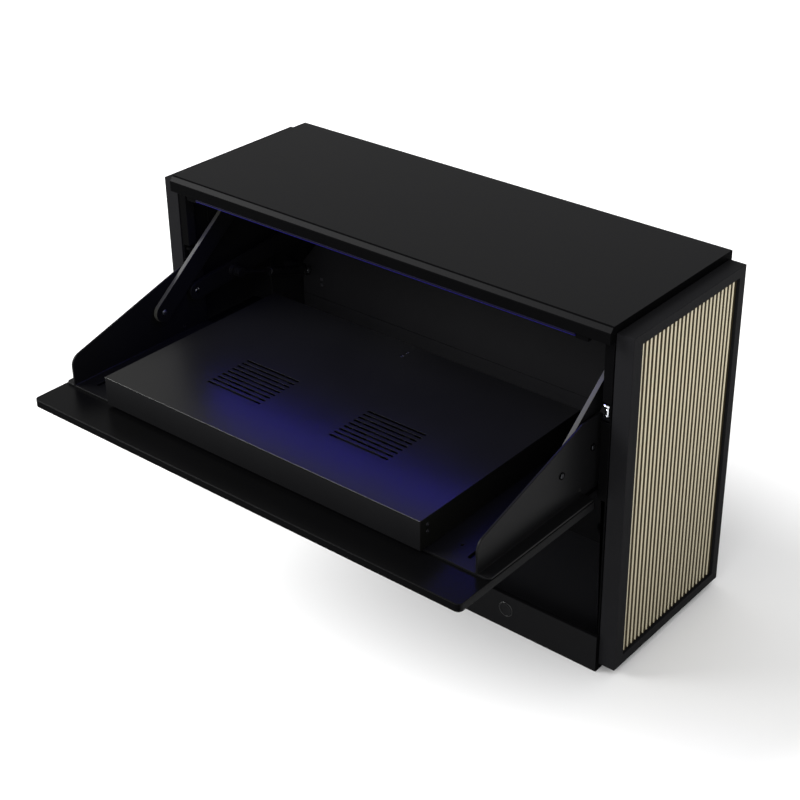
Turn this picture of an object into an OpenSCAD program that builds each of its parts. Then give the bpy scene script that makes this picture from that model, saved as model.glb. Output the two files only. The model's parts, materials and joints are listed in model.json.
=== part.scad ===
// Wall cabinet with a fold-down shelf for a short-throw projector.
// X runs along the cabinet, Y to its back and Z up. The origin is the middle of the base.
// The shelf is drawn open. It folds up in front of the cabinet on a pair of links at each side.

/* [Cabinet] */
// Width over both end frames
cabinet_w = 1000; // [900:10:1200]
// Depth of an end frame
frame_d = 329; // [325:1:345]
// Height of an end frame
frame_h = 615.5; // [612:0.5:640]
// Thickness of an end frame along the cabinet
end_frame_w = 31; // [27:1:40]
// Width of the bar that shows round an end frame's window
frame_bar = 18; // [14:1:24]
// Width of the same bar at the front, where it is wider
front_bar = 25.5; // [20:0.5:31]
// How far the shell stands out past the end frames, front and back
shell_proud = 8; // [6:1:12]
// How far the shell stands out above and below the end frames
shell_rise = 13.5; // [10:0.5:16]
// Sheet thickness of the shell and the walls
sheet_t = 2; // [1.5:0.25:2.5]

/* [End panels] */
// Number of reeds on an end panel
reed_count = 24; // [15:1:31]
// How far the reeds lie behind the face of the end frame
reed_recess = 4; // [2.5:0.5:5]
// Height of a reed above its board
reed_h = 2.25; // [1.5:0.25:3.25]
// Thickness of the board that carries the reeds
reed_board_t = 4; // [3:0.5:5]

/* [Front lip and rail] */
// How far the lip of the top stands in front of the shell
lip_forward = 8; // [6:0.5:9]
// Height of the slope above the lip
bevel_h = 9; // [7:0.5:12]
// Height of the whole front lip, slope included
lip_h = 27.5; // [25:0.5:32]
// Height of the rail below the opening
rail_h = 71; // [66:1:72]
// Width of the posts beside the opening
post_w = 14; // [12:1:16]

/* [Light strip] */
// Distance from an end of the shell to the light strip
strip_inset = 63.5; // [58:0.5:160]
// Height of the lens that shows under the lip
lens_h = 4.2; // [3:0.2:5]

/* [Flap] */
// How far the open flap reaches out in front of the end frames
flap_out = 365.5; // [355:0.5:367]
// Gap between the closed flap and the front rail below it
flap_gap = 11.6; // [10.5:0.1:20]
// Depth of the underside of the open flap below the top
flap_drop = 310; // [307.5:0.5:310.5]
// Thickness of the flap
flap_t = 15; // [13:0.5:15.5]
// Radius of the flap's corners
flap_corner_r = 9; // [5:1:14]
// Where the flap narrows to pass between the posts, in front of the end frames
flap_step = 28; // [24:1:34]

/* [Flap brackets] */
// Thickness of a bracket's plate
bracket_t = 4; // [3:0.5:5]
// Distance from an end of the shell to the outer face of a bracket's flange
flange_inset = 26.5; // [25.5:0.5:28]
// Height of the top of a flange above the flap
flange_rise = 132.5; // [122.5:1:138.5]
// How far a flange reaches out in front of the end frames
flange_out = 296; // [286:1:305]
// Height of the front pivot of a flange above the flap
pivot_rise = 67.5; // [64.5:0.5:70.5]
// How far the front pivot of a flange lies in front of the end frames
pivot_a_out = 90; // [88:0.5:92]
// Distance along Y from the front pivot of a flange to the rear one
pivot_gap_y = 82; // [80:0.5:84]
// Height of the rear pivot of a flange above the front one
pivot_gap_z = 11.5; // [10:0.5:13]

/* [Links] */
// How far the upper pivot of a front link lies behind the front of the end frames
front_ground_y = 91; // [89:0.5:94]
// How far the upper pivot of a front link lies below the top
front_ground_drop = 85.5; // [82.5:0.5:87.5]
// How far the rear pivot of a rear link lies in front of the end frames' back
rear_ground_in = 48; // [47:0.5:59]
// Thickness of a link
link_t = 8; // [7:0.5:9]
// Width of a front link
front_link_w = 38; // [32:1:40]
// Width of a rear link
rear_link_w = 34; // [30:1:35]
// Diameter of the pivot pins
pin_d = 8; // [6:0.5:9]

/* [Gas struts] */
// How far along a rear link its strut is fixed, from the flap end
strut_share = 0.325; // [0.3:0.005:0.35]
// How far the lower pivot of a strut lies in front of the end frames' back
strut_ground_in = 67; // [63:0.5:71]
// Depth of the lower pivot of a strut below the top
strut_ground_drop = 269.5; // [264.5:0.5:272.5]
// Outer diameter of a strut's tube
tube_d = 18; // [16:0.5:18]
// Length of a strut's tube, from its pivot
tube_l = 108; // [100:1:112]

/* [Tray] */
// Width of the tray
tray_w = 687; // [640:1:700]
// Depth of the tray
tray_d = 409; // [390:1:420]
// Height of the tray
tray_h = 52; // [45:0.5:57]
// How far the tray reaches out in front of the end frames
tray_out = 305; // [298:1:312]
// Sheet thickness of the tray
tray_t = 1.5; // [1:0.25:2]
// Number of slots in each air grille
slot_count = 9; // [5:1:11]
// Distance from one slot to the next
slot_pitch = 11.5; // [9:0.5:12]
// Length of an air slot
slot_l = 122; // [90:1:124]
// Width of an air slot
slot_w = 5; // [3.5:0.5:6]
// Distance from the middle to the centre of a grille
grille_x = 137; // [100:1:180]
// Side of a fan's square frame
fan_side = 92; // [80:1:98]
// Thickness of a fan
fan_t = 25; // [20:1:28]

/* [Back] */
// How far the inner back lies in front of the end frames' back
back_in = 29; // [27:0.5:30]
// Depth of the joint between the lower and the upper inner back below the top
back_joint_drop = 344.5; // [332.5:1:362.5]
// Depth of the top of the inner back below the top of the shell
back_top_drop = 199.5; // [187.5:1:212.5]
// Distance between the wall bolts across the back
wall_bolt_x = 600; // [500:10:700]
// Distance from the wall bolts to the top or the base, whichever is nearer
wall_bolt_inset = 101.25; // [90:0.25:120]
// Diameter of the wall bolt holes
wall_hole_d = 9; // [7:0.5:11]

/* [Hidden] */
$fn = 48;
colour_black = "#1c1c1d";
colour_cream = "#d6cdb0";

// Overrun of every cut past the faces it goes through
over = 1;
// Gap between pieces that lie beside each other, and between parts that turn past each other
seam = 0.5;
side_gap = 0.3;
// Radial play of a pin in its hole
play = 0.05;

// The shell, measured from the front of the end frames and from the base
shell_half = cabinet_w / 2 - end_frame_w - seam;
shell_front = -shell_proud;
shell_back = frame_d + shell_proud;
shell_h = frame_h + 2 * shell_rise;
catch_drop = 164.5;
flap_z = shell_h - flap_drop;
back_joint_z = shell_h - back_joint_drop;
back_top_z = shell_h - back_top_drop;
strut_ground_z = shell_h - strut_ground_drop;
lip_front = shell_front - lip_forward;
lip_z = shell_h - lip_h;
strip_l = 2 * (shell_half - strip_inset);
mid_y = (shell_front + shell_back) / 2;
rear_flange_h = 24;
rail_return = 8;
cap_half = shell_half - sheet_t;
cap_over = 6;
cap_h = shell_rise + cap_over;

// The side walls, with a post at the front and a flange at the back
wall_outer = cap_half - seam;
wall_inner = wall_outer - sheet_t;
wall_front = 0.6;
wall_back = shell_back - 2 * sheet_t - seam;
wall_z = sheet_t + seam;
wall_h = shell_h - 2 * wall_z;
post_inner = wall_outer - post_w - sheet_t;
post_depth = 18;

// Catch pins, upright in a notch of each post
catch_y = 9.5;
catch_z = shell_h - catch_drop;
catch_shank_d = 9;
catch_shank_h = 19;
catch_cap_d = 16.5;
catch_cap_h = 4;
catch_shelf_t = 3;
catch_x = wall_inner - catch_cap_d / 2 - side_gap;
notch_low = 3;
notch_high = 5;

// End frames and their panels
frame_x = cabinet_w / 2 - end_frame_w;
frame_flange_w = 11;
window_d = frame_d - frame_bar - front_bar;
window_mid = front_bar + window_d / 2;
window_h = frame_h - 2 * frame_bar;
window_return = reed_recess + reed_h - side_gap;
panel_overlap = 5;
panel_d = window_d + 2 * panel_overlap;
panel_h = window_h + 2 * panel_overlap;
reed_edge = 3.8;
reed_pitch = (window_d - 2 * reed_edge) / reed_count;
reed_gap = 5.25;
reed_d = reed_pitch - reed_gap;
reed_tip = cabinet_w / 2 - reed_recess;
board_x = reed_tip - reed_h - reed_board_t;
batten_w = 40;
batten_inset = 45;

// Inner back, in two pans that reach back to the side walls' flanges
back_y = frame_d - back_in;
back_side_gap = 6;
back_half = wall_inner - back_side_gap;
back_corner_y = 64;
back_corner_z = 80;
back_base_z = wall_z;
back_screw_in = 61;
back_screw_x = shell_half - back_screw_in;
back_screw_low = 29;
back_screw_high = 24;
grommet_in = 187.5;
grommet_x = shell_half - grommet_in;
grommet_z = 38;
grommet_hole_r = 14;
grommet_r = 16.5;
grommet_bore_r = 11;
grommet_lip = 2;
cover_z = 5;
vent_count = 7;
vent_pitch = 12;
vent_l = 110;
vent_w = 5;
vent_z = 470;
vent_x = 230;
exit_w = 70;
exit_h = 36;
hang_rail_t = 3;
hang_rail_h = 42;
wall_bolt_heights = [wall_bolt_inset, shell_h - wall_bolt_inset];
hang_rail_in = 38.5;
hang_rail_half = shell_half - hang_rail_in;

// Light strip under the lip
channel_w = 9.6;
channel_h = 9;
channel_t = 1;
channel_y = lip_front + sheet_t + side_gap;
lens_top_z = lip_z - side_gap;
board_w = 6;
board_t = 1.2;
end_cap_l = 24;
end_cap_drop = 8.5;

// Power button in the rail
button_in = 184.5;
button_x = shell_half - button_in;
button_z = 41.5;
bezel_r = 16;
bezel_barrel_r = 14;
bezel_flange_t = 1.2;
button_r = 12.5;
button_front = 0.4;
button_t = 7;
button_travel = 1.5;
barrel_end = button_t + button_travel + side_gap - bezel_flange_t - button_front;
switch_w = 26;
switch_t = 11;

// Electrics
box_in = 83.5;
box_x = box_in - shell_half;
box_w = 210;
box_d = 96;
box_back_gap = 8;
box_y = back_y - box_back_gap - box_d;
box_h = 44;
box_wall = 2;
box_vent_count = 13;
inlet_in = 168.5;
inlet_x = inlet_in - shell_half;
inlet_z = 165;
inlet_w = 48;
inlet_h = 28;
inlet_depth = 24;
inlet_flange = 6;

// Flap: a folded pan below and a flat liner on top
flap_side_gap = 4.5;
flap_post_gap = 2;
flap_half = shell_half - flap_side_gap;
flap_narrow_half = post_inner - flap_post_gap;
liner_t = 2;
pan_t = 2;
flap_top_z = flap_z + flap_t;
flange_top = flap_top_z + flange_rise;
pivot_a_z = flap_top_z + pivot_rise;
rib_w = 60;
rib_inset = 6;
rib_x_share = 0.62;

// Flap brackets
foot_under_tray = 45;
foot_edge = 1;
foot_inner = tray_w / 2 - foot_under_tray;
foot_top_z = flap_top_z + bracket_t;
foot_outer = flap_half - foot_edge;
foot_bolt_x = foot_inner + foot_under_tray / 2;
foot_bolt_end = 30;
foot_bolt_count = 4;
foot_bolt_r = 5;
flange_x = shell_half - flange_inset;
flange_inner_x = flange_x - bracket_t;
flange_back = 19;
flange_front_r = 22;
flange_back_r = 20;
flange_top_r = 12;
foot_slot_w = 7;
foot_slot_l = 24;
foot_slot_in = 34;
foot_slot_x = flange_x - foot_slot_in;
foot_slot_y = -260;
foot_hole_d = 4.5;
foot_hole_in = 62;
foot_hole_x = flange_x - foot_hole_in;
foot_hole_y = -252;
small_hole_y = -38;
small_hole_rise = 15.5;
small_hole_z = flap_top_z + small_hole_rise;
small_hole_d = 6;

// A front link turns this far as the flap closes
fold_angle = 45;

// Pivots of the flap, as [y, z]
pivot_a = [-pivot_a_out, pivot_a_z];
pivot_b = pivot_a + [pivot_gap_y, pivot_gap_z];
ground_a = [front_ground_y, shell_h - front_ground_drop];
function turned(v, a) = [v.x * cos(a) - v.y * sin(a), v.x * sin(a) + v.y * cos(a)];
closed_a = ground_a + turned(pivot_a - ground_a, fold_angle);
closed_b = closed_a + turned(pivot_b - pivot_a, -90);
// The closed flap stands this far above the front rail, so its rear edge follows from that
flap_in = closed_a.y - pivot_a_out - rail_h - flap_gap;
// The rear link has one length, so its rear pivot is as far from the open end as from the closed one
rear_ground_y = frame_d - rear_ground_in;
rear_ground_z = (pow(rear_ground_y - closed_b.x, 2) + pow(closed_b.y, 2)
  - pow(rear_ground_y - pivot_b.x, 2) - pow(pivot_b.y, 2)) / (2 * (closed_b.y - pivot_b.y));
ground_b = [rear_ground_y, rear_ground_z];
strut_top = pivot_b + (ground_b - pivot_b) * strut_share;
strut_ground = [frame_d - strut_ground_in, strut_ground_z];
strut_v = strut_top - strut_ground;
strut_l = norm(strut_v);
strut_angle = atan2(strut_v.y, strut_v.x);

// Links lie inside the flanges, with a bush between
bush_h = 2.5;
link_outer_x = flange_inner_x - bush_h;
link_inner_x = link_outer_x - link_t;
pin_r = pin_d / 2;
head_r = 5.5;
head_h = 1.5;
bush_r = 10;
nut_r = 6;
nut_h = 2;
pivot_plate_t = 3;
plate_x = wall_inner - pivot_plate_t;
front_plate_w = 60;
front_plate_h = 52;
plate_boss_r = 11;
rear_plate_front = 66;
rear_plate_back = 15;
rear_plate_low = 138;
rear_plate_high = 20;
rear_plate_cut = 34;

// Gas struts lie inside the rear links
collar_r = 13;
collar_h = 6;
collar_bore_r = 5;
strut_outer_x = link_inner_x - collar_h - seam;
strut_x = strut_outer_x - tube_d / 2;
tube_eye_r = 10;
tube_eye_w = 12;
tube_neck_r = 5;
tube_start = 13;
tube_bore_r = 6;
rod_r = 4;
guide_l = 12;
tube_bore_start = 20;
rod_in = 26;
rod_eye_r = 9;
rod_eye_t = 14;
piston_l = 5;

// Tray
tray_half = tray_w / 2;
tray_front = -tray_out;
tray_back = tray_d - tray_out;
tray_foot_gap = 1.5;
tray_z = foot_top_z + tray_foot_gap;
tray_top_z = tray_z + tray_h;
grille_y = -159.5;
intake_share = 0.46;
pad_l = 36;
pad_w = 24;
pad_y = -250;
screw_r = 3.5;
screw_h = 1.4;
top_screw_low = 25.2;
top_screw_gap = 14.8;
side_screw_y = 17;
side_screw_low = 25;
side_screw_high = 13;
fan_z = tray_top_z - tray_t - side_gap - fan_t;
fan_wall = 2.5;
fan_bore_r = fan_side / 2 - fan_wall;
fan_hole_inset = 5;
fan_hole_r = 2.2;
hub_r = 19;
hub_plate_t = 3;
strut_bar_w = 5;
shaft_r = 2;
blade_count = 7;
blade_t = 1.6;
blade_pitch_angle = 38;
blade_gap = 1.2;
rotor_clear = 1;

// Each piece is drawn from the front of the end frames and moved to the middle of the base here
module placed() translate([0, -mid_y, 0]) children();

// The outline below lies in Y and Z and is drawn out along X
module along_x(from, to)
  translate([from, 0, 0]) rotate([90, 0, 90]) linear_extrude(to - from) children();

module mirrored_x() { children(); mirror([1, 0, 0]) children(); }

module block(low, high) translate(low) cube(high - low);

module rod_x(from, to, centre, r)
  translate([from, centre.x, centre.y]) rotate([0, 90, 0]) cylinder(h = to - from, r = r);

// A folded sheet follows the outer face p, with its thickness t to the left of the path
function unit(v) = v / norm(v);
function left_of(v) = [-v.y, v.x];
function mitre(a, b, c, t) =
  let (m = left_of(unit(b - a)), n = left_of(unit(c - b))) b + t * (m + n) / (1 + m * n);
function inner_path(p, t) = [for (i = [0:len(p) - 1])
  i == 0 ? p[0] + t * left_of(unit(p[1] - p[0]))
  : i == len(p) - 1 ? p[i] + t * left_of(unit(p[i] - p[i - 1]))
  : mitre(p[i - 1], p[i], p[i + 1], t)];
function reversed(p) = [for (i = [len(p) - 1:-1:0]) p[i]];
module folded(p, t) polygon(concat(p, reversed(inner_path(p, t))));

// Rounds the corners of the outline p, each by its own radius in r
arc_steps = 8;
function corner_arc(a, b, c, r) =
  let (u = unit(a - b), v = unit(c - b), half = acos(u * v) / 2, m = unit(u + v),
    o = b + m * r / sin(half), s = b + u * r / tan(half) - o, turn = 180 - 2 * half,
    way = u.x * v.y - u.y * v.x > 0 ? -1 : 1)
  r == 0 ? [b] : [for (i = [0:arc_steps]) o + turned(s, way * turn * i / arc_steps)];
function rounded(p, r) = [for (i = [0:len(p) - 1])
  each corner_arc(p[(i + len(p) - 1) % len(p)], p[i], p[(i + 1) % len(p)], r[i])];

module bar_2d(p, q, r) {
  v = q - p;
  translate(p) circle(r);
  translate(q) circle(r);
  translate(p) rotate(atan2(v.y, v.x)) translate([0, -r]) square([norm(v), 2 * r]);
}

module slot_2d(l, w) bar_2d([-(l - w) / 2, 0], [(l - w) / 2, 0], w / 2);

module top_cover() color(colour_black) placed() {
  path = [[lip_front, lip_z], [lip_front, shell_h - bevel_h], [shell_front, shell_h],
    [shell_back, shell_h], [shell_back, shell_h - rear_flange_h]];
  along_x(-shell_half, shell_half) folded(path, -sheet_t);
  mirrored_x() along_x(cap_half, shell_half) polygon([[lip_front, lip_z],
    [lip_front, shell_h - bevel_h], [shell_front, shell_h], [shell_back, shell_h],
    [shell_back, shell_h - cap_h], [wall_front, shell_h - cap_h], [wall_front, lip_z]]);
}

module base_shell() color(colour_black) placed() difference() {
  union() {
    along_x(-shell_half, shell_half) folded([[shell_front, rail_h], [shell_front, 0],
      [shell_back, 0], [shell_back, rear_flange_h]], sheet_t);
    along_x(-cap_half, cap_half)
      polygon([[shell_front, rail_h], [shell_front, rail_h - sheet_t],
        [shell_front + rail_return, rail_h - sheet_t], [shell_front + rail_return, rail_h]]);
    mirrored_x() along_x(cap_half, shell_half) polygon([[shell_front, 0], [shell_front, rail_h],
      [wall_front, rail_h], [wall_front, cap_h], [shell_back, cap_h], [shell_back, 0]]);
  }
  translate([button_x, shell_front - over, button_z]) rotate([-90, 0, 0])
    cylinder(h = sheet_t + 2 * over, r = bezel_barrel_r + play);
}

// One side wall, drawn for the right-hand side
module side_wall() difference() {
  union() {
    translate([0, 0, wall_z]) linear_extrude(wall_h)
      folded([[post_inner, wall_front + post_depth], [post_inner, wall_front],
        [wall_outer, wall_front], [wall_outer, wall_back], [post_inner - rail_return, wall_back]],
        sheet_t);
    block([post_inner + sheet_t, wall_front, catch_z - catch_shelf_t],
      [wall_outer, wall_front + post_depth, catch_z]);
  }
  block([post_inner - over, wall_front - over, catch_z],
    [wall_inner, wall_front + post_depth + over,
      catch_z + catch_shank_h + catch_cap_h + notch_high]);
  block([post_inner - over, wall_front - over, catch_z - catch_shelf_t - notch_low],
    [wall_inner, wall_front + post_depth + over, catch_z - catch_shelf_t]);
  translate([catch_x, catch_y, catch_z - catch_shelf_t - over])
    cylinder(h = catch_shelf_t + 2 * over, r = catch_shank_d / 4 + play);
}

module side_wall_left() color(colour_black) placed() mirror([1, 0, 0]) side_wall();
module side_wall_right() color(colour_black) placed() side_wall();

module frame_outline(inset, front) translate([front, shell_rise + inset])
  square([frame_d - inset - front, frame_h - 2 * inset]);

module frame_ring(outer, inner, front_outer, front_inner) difference() {
  frame_outline(outer, front_outer);
  frame_outline(inner, front_inner);
}

module end_frame() {
  along_x(frame_x, cabinet_w / 2) frame_ring(0, sheet_t, 0, sheet_t);
  along_x(cabinet_w / 2 - sheet_t, cabinet_w / 2) frame_ring(0, frame_bar, 0, front_bar);
  along_x(frame_x, frame_x + sheet_t)
    frame_ring(0, frame_flange_w, 0, frame_flange_w);
  along_x(cabinet_w / 2 - window_return, cabinet_w / 2)
    frame_ring(frame_bar - sheet_t, frame_bar, front_bar - sheet_t, front_bar);
}

module end_frame_left() color(colour_black) placed() mirror([1, 0, 0]) end_frame();
module end_frame_right() color(colour_black) placed() end_frame();

// Reeds stand on a board behind the window, and fill it from edge to edge
module reed_panel() {
  first = window_mid - (reed_count - 1) * reed_pitch / 2;
  reed_low = shell_rise + frame_bar + seam;
  block([board_x, window_mid - panel_d / 2, shell_rise + (frame_h - panel_h) / 2],
    [board_x + reed_board_t, window_mid + panel_d / 2, shell_rise + (frame_h + panel_h) / 2]);
  translate([0, 0, reed_low]) linear_extrude(window_h - 2 * seam)
    for (i = [0:reed_count - 1]) translate([board_x + reed_board_t, first + i * reed_pitch])
      intersection() {
        translate([reed_h - reed_d / 2, 0]) circle(d = reed_d);
        translate([-over, -reed_d / 2]) square([reed_h + 2 * over, reed_d]);
      }
}

module reed_panel_left() color(colour_cream) placed() mirror([1, 0, 0]) reed_panel();
module reed_panel_right() color(colour_cream) placed() reed_panel();

// Battens carry each reeded board on the side wall
module panel_battens() color("#b39b72") placed() mirrored_x() for (y = [batten_inset,
    frame_d - batten_inset - batten_w])
  block([wall_outer, y, shell_rise + frame_bar],
    [board_x, y + batten_w, shell_rise + frame_bar + window_h]);

module lower_back_panel() color(colour_black) placed() difference() {
  back_pan([[-back_half, back_base_z], [back_half, back_base_z],
    [back_half, back_joint_z - seam], [-back_half, back_joint_z - seam]]);
  translate([grommet_x, back_y - over, grommet_z]) rotate([-90, 0, 0])
    cylinder(h = sheet_t + 2 * over, r = grommet_hole_r);
}

module upper_back_panel() color(colour_black) placed()
  back_pan([[-back_half, back_joint_z], [back_half, back_joint_z],
    [back_half, back_top_z - back_corner_z], [back_half - back_corner_y, back_top_z],
    [-back_half + back_corner_y, back_top_z], [-back_half, back_top_z - back_corner_z]]);

// A back panel is a flat face with a return down each side
module back_pan(outline) {
  side_low = outline[1].y;
  side_high = outline[2].y;
  translate([0, back_y + sheet_t, 0]) rotate([90, 0, 0]) linear_extrude(sheet_t) polygon(outline);
  mirrored_x() block([back_half - sheet_t, back_y, side_low],
    [back_half, wall_back - sheet_t, side_high]);
}

module rear_cover() color(colour_black) placed() difference() {
  block([-wall_inner, wall_back, cover_z],
    [wall_inner, wall_back + sheet_t, shell_h - cover_z]);
  for (x = [-vent_x, vent_x], i = [0:vent_count - 1])
    translate([x, wall_back - over, vent_z + (i - (vent_count - 1) / 2) * vent_pitch])
      rotate([-90, 0, 0]) linear_extrude(sheet_t + 2 * over) slot_2d(vent_l, vent_w);
  block([grommet_x - exit_w / 2, wall_back - over, grommet_z - exit_h / 2],
    [grommet_x + exit_w / 2, wall_back + sheet_t + over, grommet_z + exit_h / 2]);
  wall_holes(wall_hole_d / 2);
  block([inlet_x - inlet_w / 2, wall_back - over, inlet_z - inlet_h / 2],
    [inlet_x + inlet_w / 2, wall_back + sheet_t + over, inlet_z + inlet_h / 2]);
}

module wall_holes(r) for (x = [-wall_bolt_x / 2, wall_bolt_x / 2], z = wall_bolt_heights)
  translate([x, wall_back - hang_rail_t - over, z])
    rotate([-90, 0, 0]) cylinder(h = hang_rail_t + sheet_t + 2 * over, r = r);

// Two flat rails behind the rear cover take the wall bolts
module wall_rails() color("#3a3a3c") placed() difference() {
  for (z = wall_bolt_heights)
    block([-hang_rail_half, wall_back - hang_rail_t, z - hang_rail_h / 2],
      [hang_rail_half, wall_back, z + hang_rail_h / 2]);
  wall_holes(wall_hole_d / 2);
}

module light_channel() color("silver") placed() along_x(-strip_l / 2, strip_l / 2)
  translate([channel_y, lens_top_z]) difference() {
    square([channel_w, channel_h]);
    translate([channel_t, -over]) square([channel_w - 2 * channel_t, channel_h - channel_t + over]);
  }

module light_board() color("white") placed() block(
  [-strip_l / 2, channel_y + (channel_w - board_w) / 2, lens_top_z + channel_h - channel_t - board_t],
  [strip_l / 2, channel_y + (channel_w + board_w) / 2, lens_top_z + channel_h - channel_t]);

module light_lens() color("#4a3cff") placed() block(
  [-strip_l / 2, lip_front + side_gap, lens_top_z - lens_h],
  [strip_l / 2, channel_y + channel_w, lens_top_z]);

module light_end_caps() color(colour_black) placed() mirrored_x() block(
  [strip_l / 2, channel_y, lip_z - end_cap_drop],
  [strip_l / 2 + end_cap_l, channel_y + channel_w, lip_z + channel_h]);

module front_pivot_brackets() color(colour_black) placed() mirrored_x() difference() {
  union() {
    block([plate_x, ground_a.x - front_plate_w / 2, ground_a.y - front_plate_h / 2],
      [wall_inner, ground_a.x + front_plate_w / 2, ground_a.y + front_plate_h / 2]);
    rod_x(link_outer_x + side_gap, wall_inner, ground_a, plate_boss_r);
  }
  rod_x(link_outer_x, wall_inner + over, ground_a, pin_r + play);
}

module rear_pivot_brackets() color(colour_black) placed() mirrored_x() difference() {
  union() {
    along_x(plate_x, wall_inner) polygon([
      [ground_b.x - rear_plate_front, ground_b.y - rear_plate_low],
      [ground_b.x + rear_plate_back, ground_b.y - rear_plate_low],
      [ground_b.x + rear_plate_back, ground_b.y + rear_plate_high],
      [ground_b.x - rear_plate_front + rear_plate_cut, ground_b.y + rear_plate_high],
      [ground_b.x - rear_plate_front, ground_b.y + rear_plate_high - rear_plate_cut]]);
    rod_x(link_outer_x + side_gap, wall_inner, ground_b, plate_boss_r);
    rod_x(strut_x + tube_eye_w / 2 + side_gap, wall_inner, strut_ground, plate_boss_r);
  }
  rod_x(link_outer_x, wall_inner + over, ground_b, pin_r + play);
  rod_x(strut_x, wall_inner + over, strut_ground, pin_r + play);
}

// A round-headed pin whose head lies against the inner face at x
head_dome_r = (head_r * head_r + head_h * head_h) / (2 * head_h);
module headed_pin(x, to, centre) {
  rod_x(x - side_gap, to, centre, pin_r);
  translate([x - side_gap, centre.x, centre.y]) rotate([0, -90, 0]) intersection() {
    cylinder(h = head_h, r = head_r);
    translate([0, 0, head_h - head_dome_r]) sphere(head_dome_r);
  }
}

module ground_pins() color("silver") placed() mirrored_x() {
  headed_pin(link_inner_x, wall_inner, ground_a);
  headed_pin(link_inner_x, wall_inner, ground_b);
  headed_pin(strut_x - tube_eye_w / 2, wall_inner, strut_ground);
}

module catch_pins() color("silver") placed() mirrored_x() translate([catch_x, catch_y, 0]) {
  translate([0, 0, catch_z - catch_shelf_t]) cylinder(h = catch_shelf_t, r = catch_shank_d / 4);
  translate([0, 0, catch_z]) cylinder(h = catch_shank_h, r = catch_shank_d / 2);
  translate([0, 0, catch_z + catch_shank_h]) cylinder(h = catch_cap_h, r = catch_cap_d / 2);
}

module cable_grommet() color("#151515") placed() translate([grommet_x, back_y, grommet_z])
  rotate([-90, 0, 0]) rotate_extrude() polygon([[grommet_bore_r, -grommet_lip],
    [grommet_r, -grommet_lip], [grommet_r, 0], [grommet_hole_r, 0], [grommet_hole_r, sheet_t],
    [grommet_r, sheet_t], [grommet_r, sheet_t + grommet_lip],
    [grommet_bore_r, sheet_t + grommet_lip]]);

module facing_rail() placed() translate([button_x, shell_front, button_z]) rotate([-90, 0, 0])
  children();

module button_bezel() color("#262628") facing_rail() rotate_extrude() polygon([
  [button_r + play, -bezel_flange_t], [bezel_r, -bezel_flange_t], [bezel_r, 0],
  [bezel_barrel_r, 0], [bezel_barrel_r, barrel_end], [button_r + play, barrel_end]]);

module power_button() color("#2a2a2c") facing_rail()
  translate([0, 0, -bezel_flange_t - button_front]) cylinder(h = button_t, r = button_r);

module button_switch() color("#202024") facing_rail()
  translate([-switch_w / 2, -switch_w / 2, barrel_end])
    cube([switch_w, switch_w, switch_t]);

module control_box() color("#2b2b2d") placed() difference() {
  block([box_x, box_y, sheet_t], [box_x + box_w, box_y + box_d, sheet_t + box_h]);
  for (i = [0:box_vent_count - 1])
    translate([box_x + box_w / 2 + (i - (box_vent_count - 1) / 2) * vent_pitch,
      box_y + box_d / 2, sheet_t + box_h - box_wall])
        linear_extrude(box_wall + over) rotate(90) slot_2d(box_d / 2, vent_w);
}

module power_inlet() color("#18181a") placed() difference() {
  union() {
    block([inlet_x - inlet_w / 2 + side_gap, wall_back - inlet_depth, inlet_z - inlet_h / 2 + side_gap],
      [inlet_x + inlet_w / 2 - side_gap, wall_back + sheet_t, inlet_z + inlet_h / 2 - side_gap]);
    block([inlet_x - inlet_w / 2 - inlet_flange, wall_back - sheet_t, inlet_z - inlet_h / 2 - inlet_flange],
      [inlet_x + inlet_w / 2 + inlet_flange, wall_back, inlet_z + inlet_h / 2 + inlet_flange]);
  }
  block([inlet_x - inlet_w / 2 + inlet_flange, wall_back - inlet_depth + inlet_flange,
      inlet_z - inlet_h / 2 + inlet_flange / 2],
    [inlet_x + inlet_w / 2 - inlet_flange, wall_back + sheet_t + over,
      inlet_z + inlet_h / 2 - inlet_flange / 2]);
}

// Screw heads on the upper inner back
module cabinet_screws() color("silver") placed() mirrored_x() for (z = [
    back_joint_z + back_screw_low, back_top_z - back_corner_z - back_screw_high])
  translate([back_screw_x, back_y, z]) rotate([90, 0, 0]) cylinder(h = screw_h, r = screw_r);

// Outline of the flap, drawn in by inset all round
function flap_outline(inset) =
  let (wide = flap_half - inset, narrow = flap_narrow_half - inset, front = -flap_out + inset,
    back = flap_in - inset, step = -flap_step - inset)
  rounded([[-wide, front], [wide, front], [wide, step], [narrow, step], [narrow, back],
      [-narrow, back], [-narrow, step], [-wide, step]],
    [flap_corner_r, flap_corner_r, flap_corner_r / 2, 0, flap_corner_r / 2, flap_corner_r / 2, 0,
      flap_corner_r / 2]);

module flap_pan() color(colour_black) placed() translate([0, 0, flap_z]) difference() {
  linear_extrude(flap_t - liner_t) polygon(flap_outline(0));
  translate([0, 0, pan_t]) linear_extrude(flap_t) polygon(flap_outline(pan_t));
}

module flap_liner() color(colour_black) placed() translate([0, 0, flap_top_z - liner_t])
  linear_extrude(liner_t) polygon(flap_outline(0));

module flap_ribs() color("#3a3a3c") placed() for (s = [-rib_x_share, 0, rib_x_share])
  block([s * flap_half - rib_w / 2, -flap_out + rib_inset, flap_z + pan_t],
    [s * flap_half + rib_w / 2, flap_in - rib_inset, flap_top_z - liner_t]);

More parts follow.
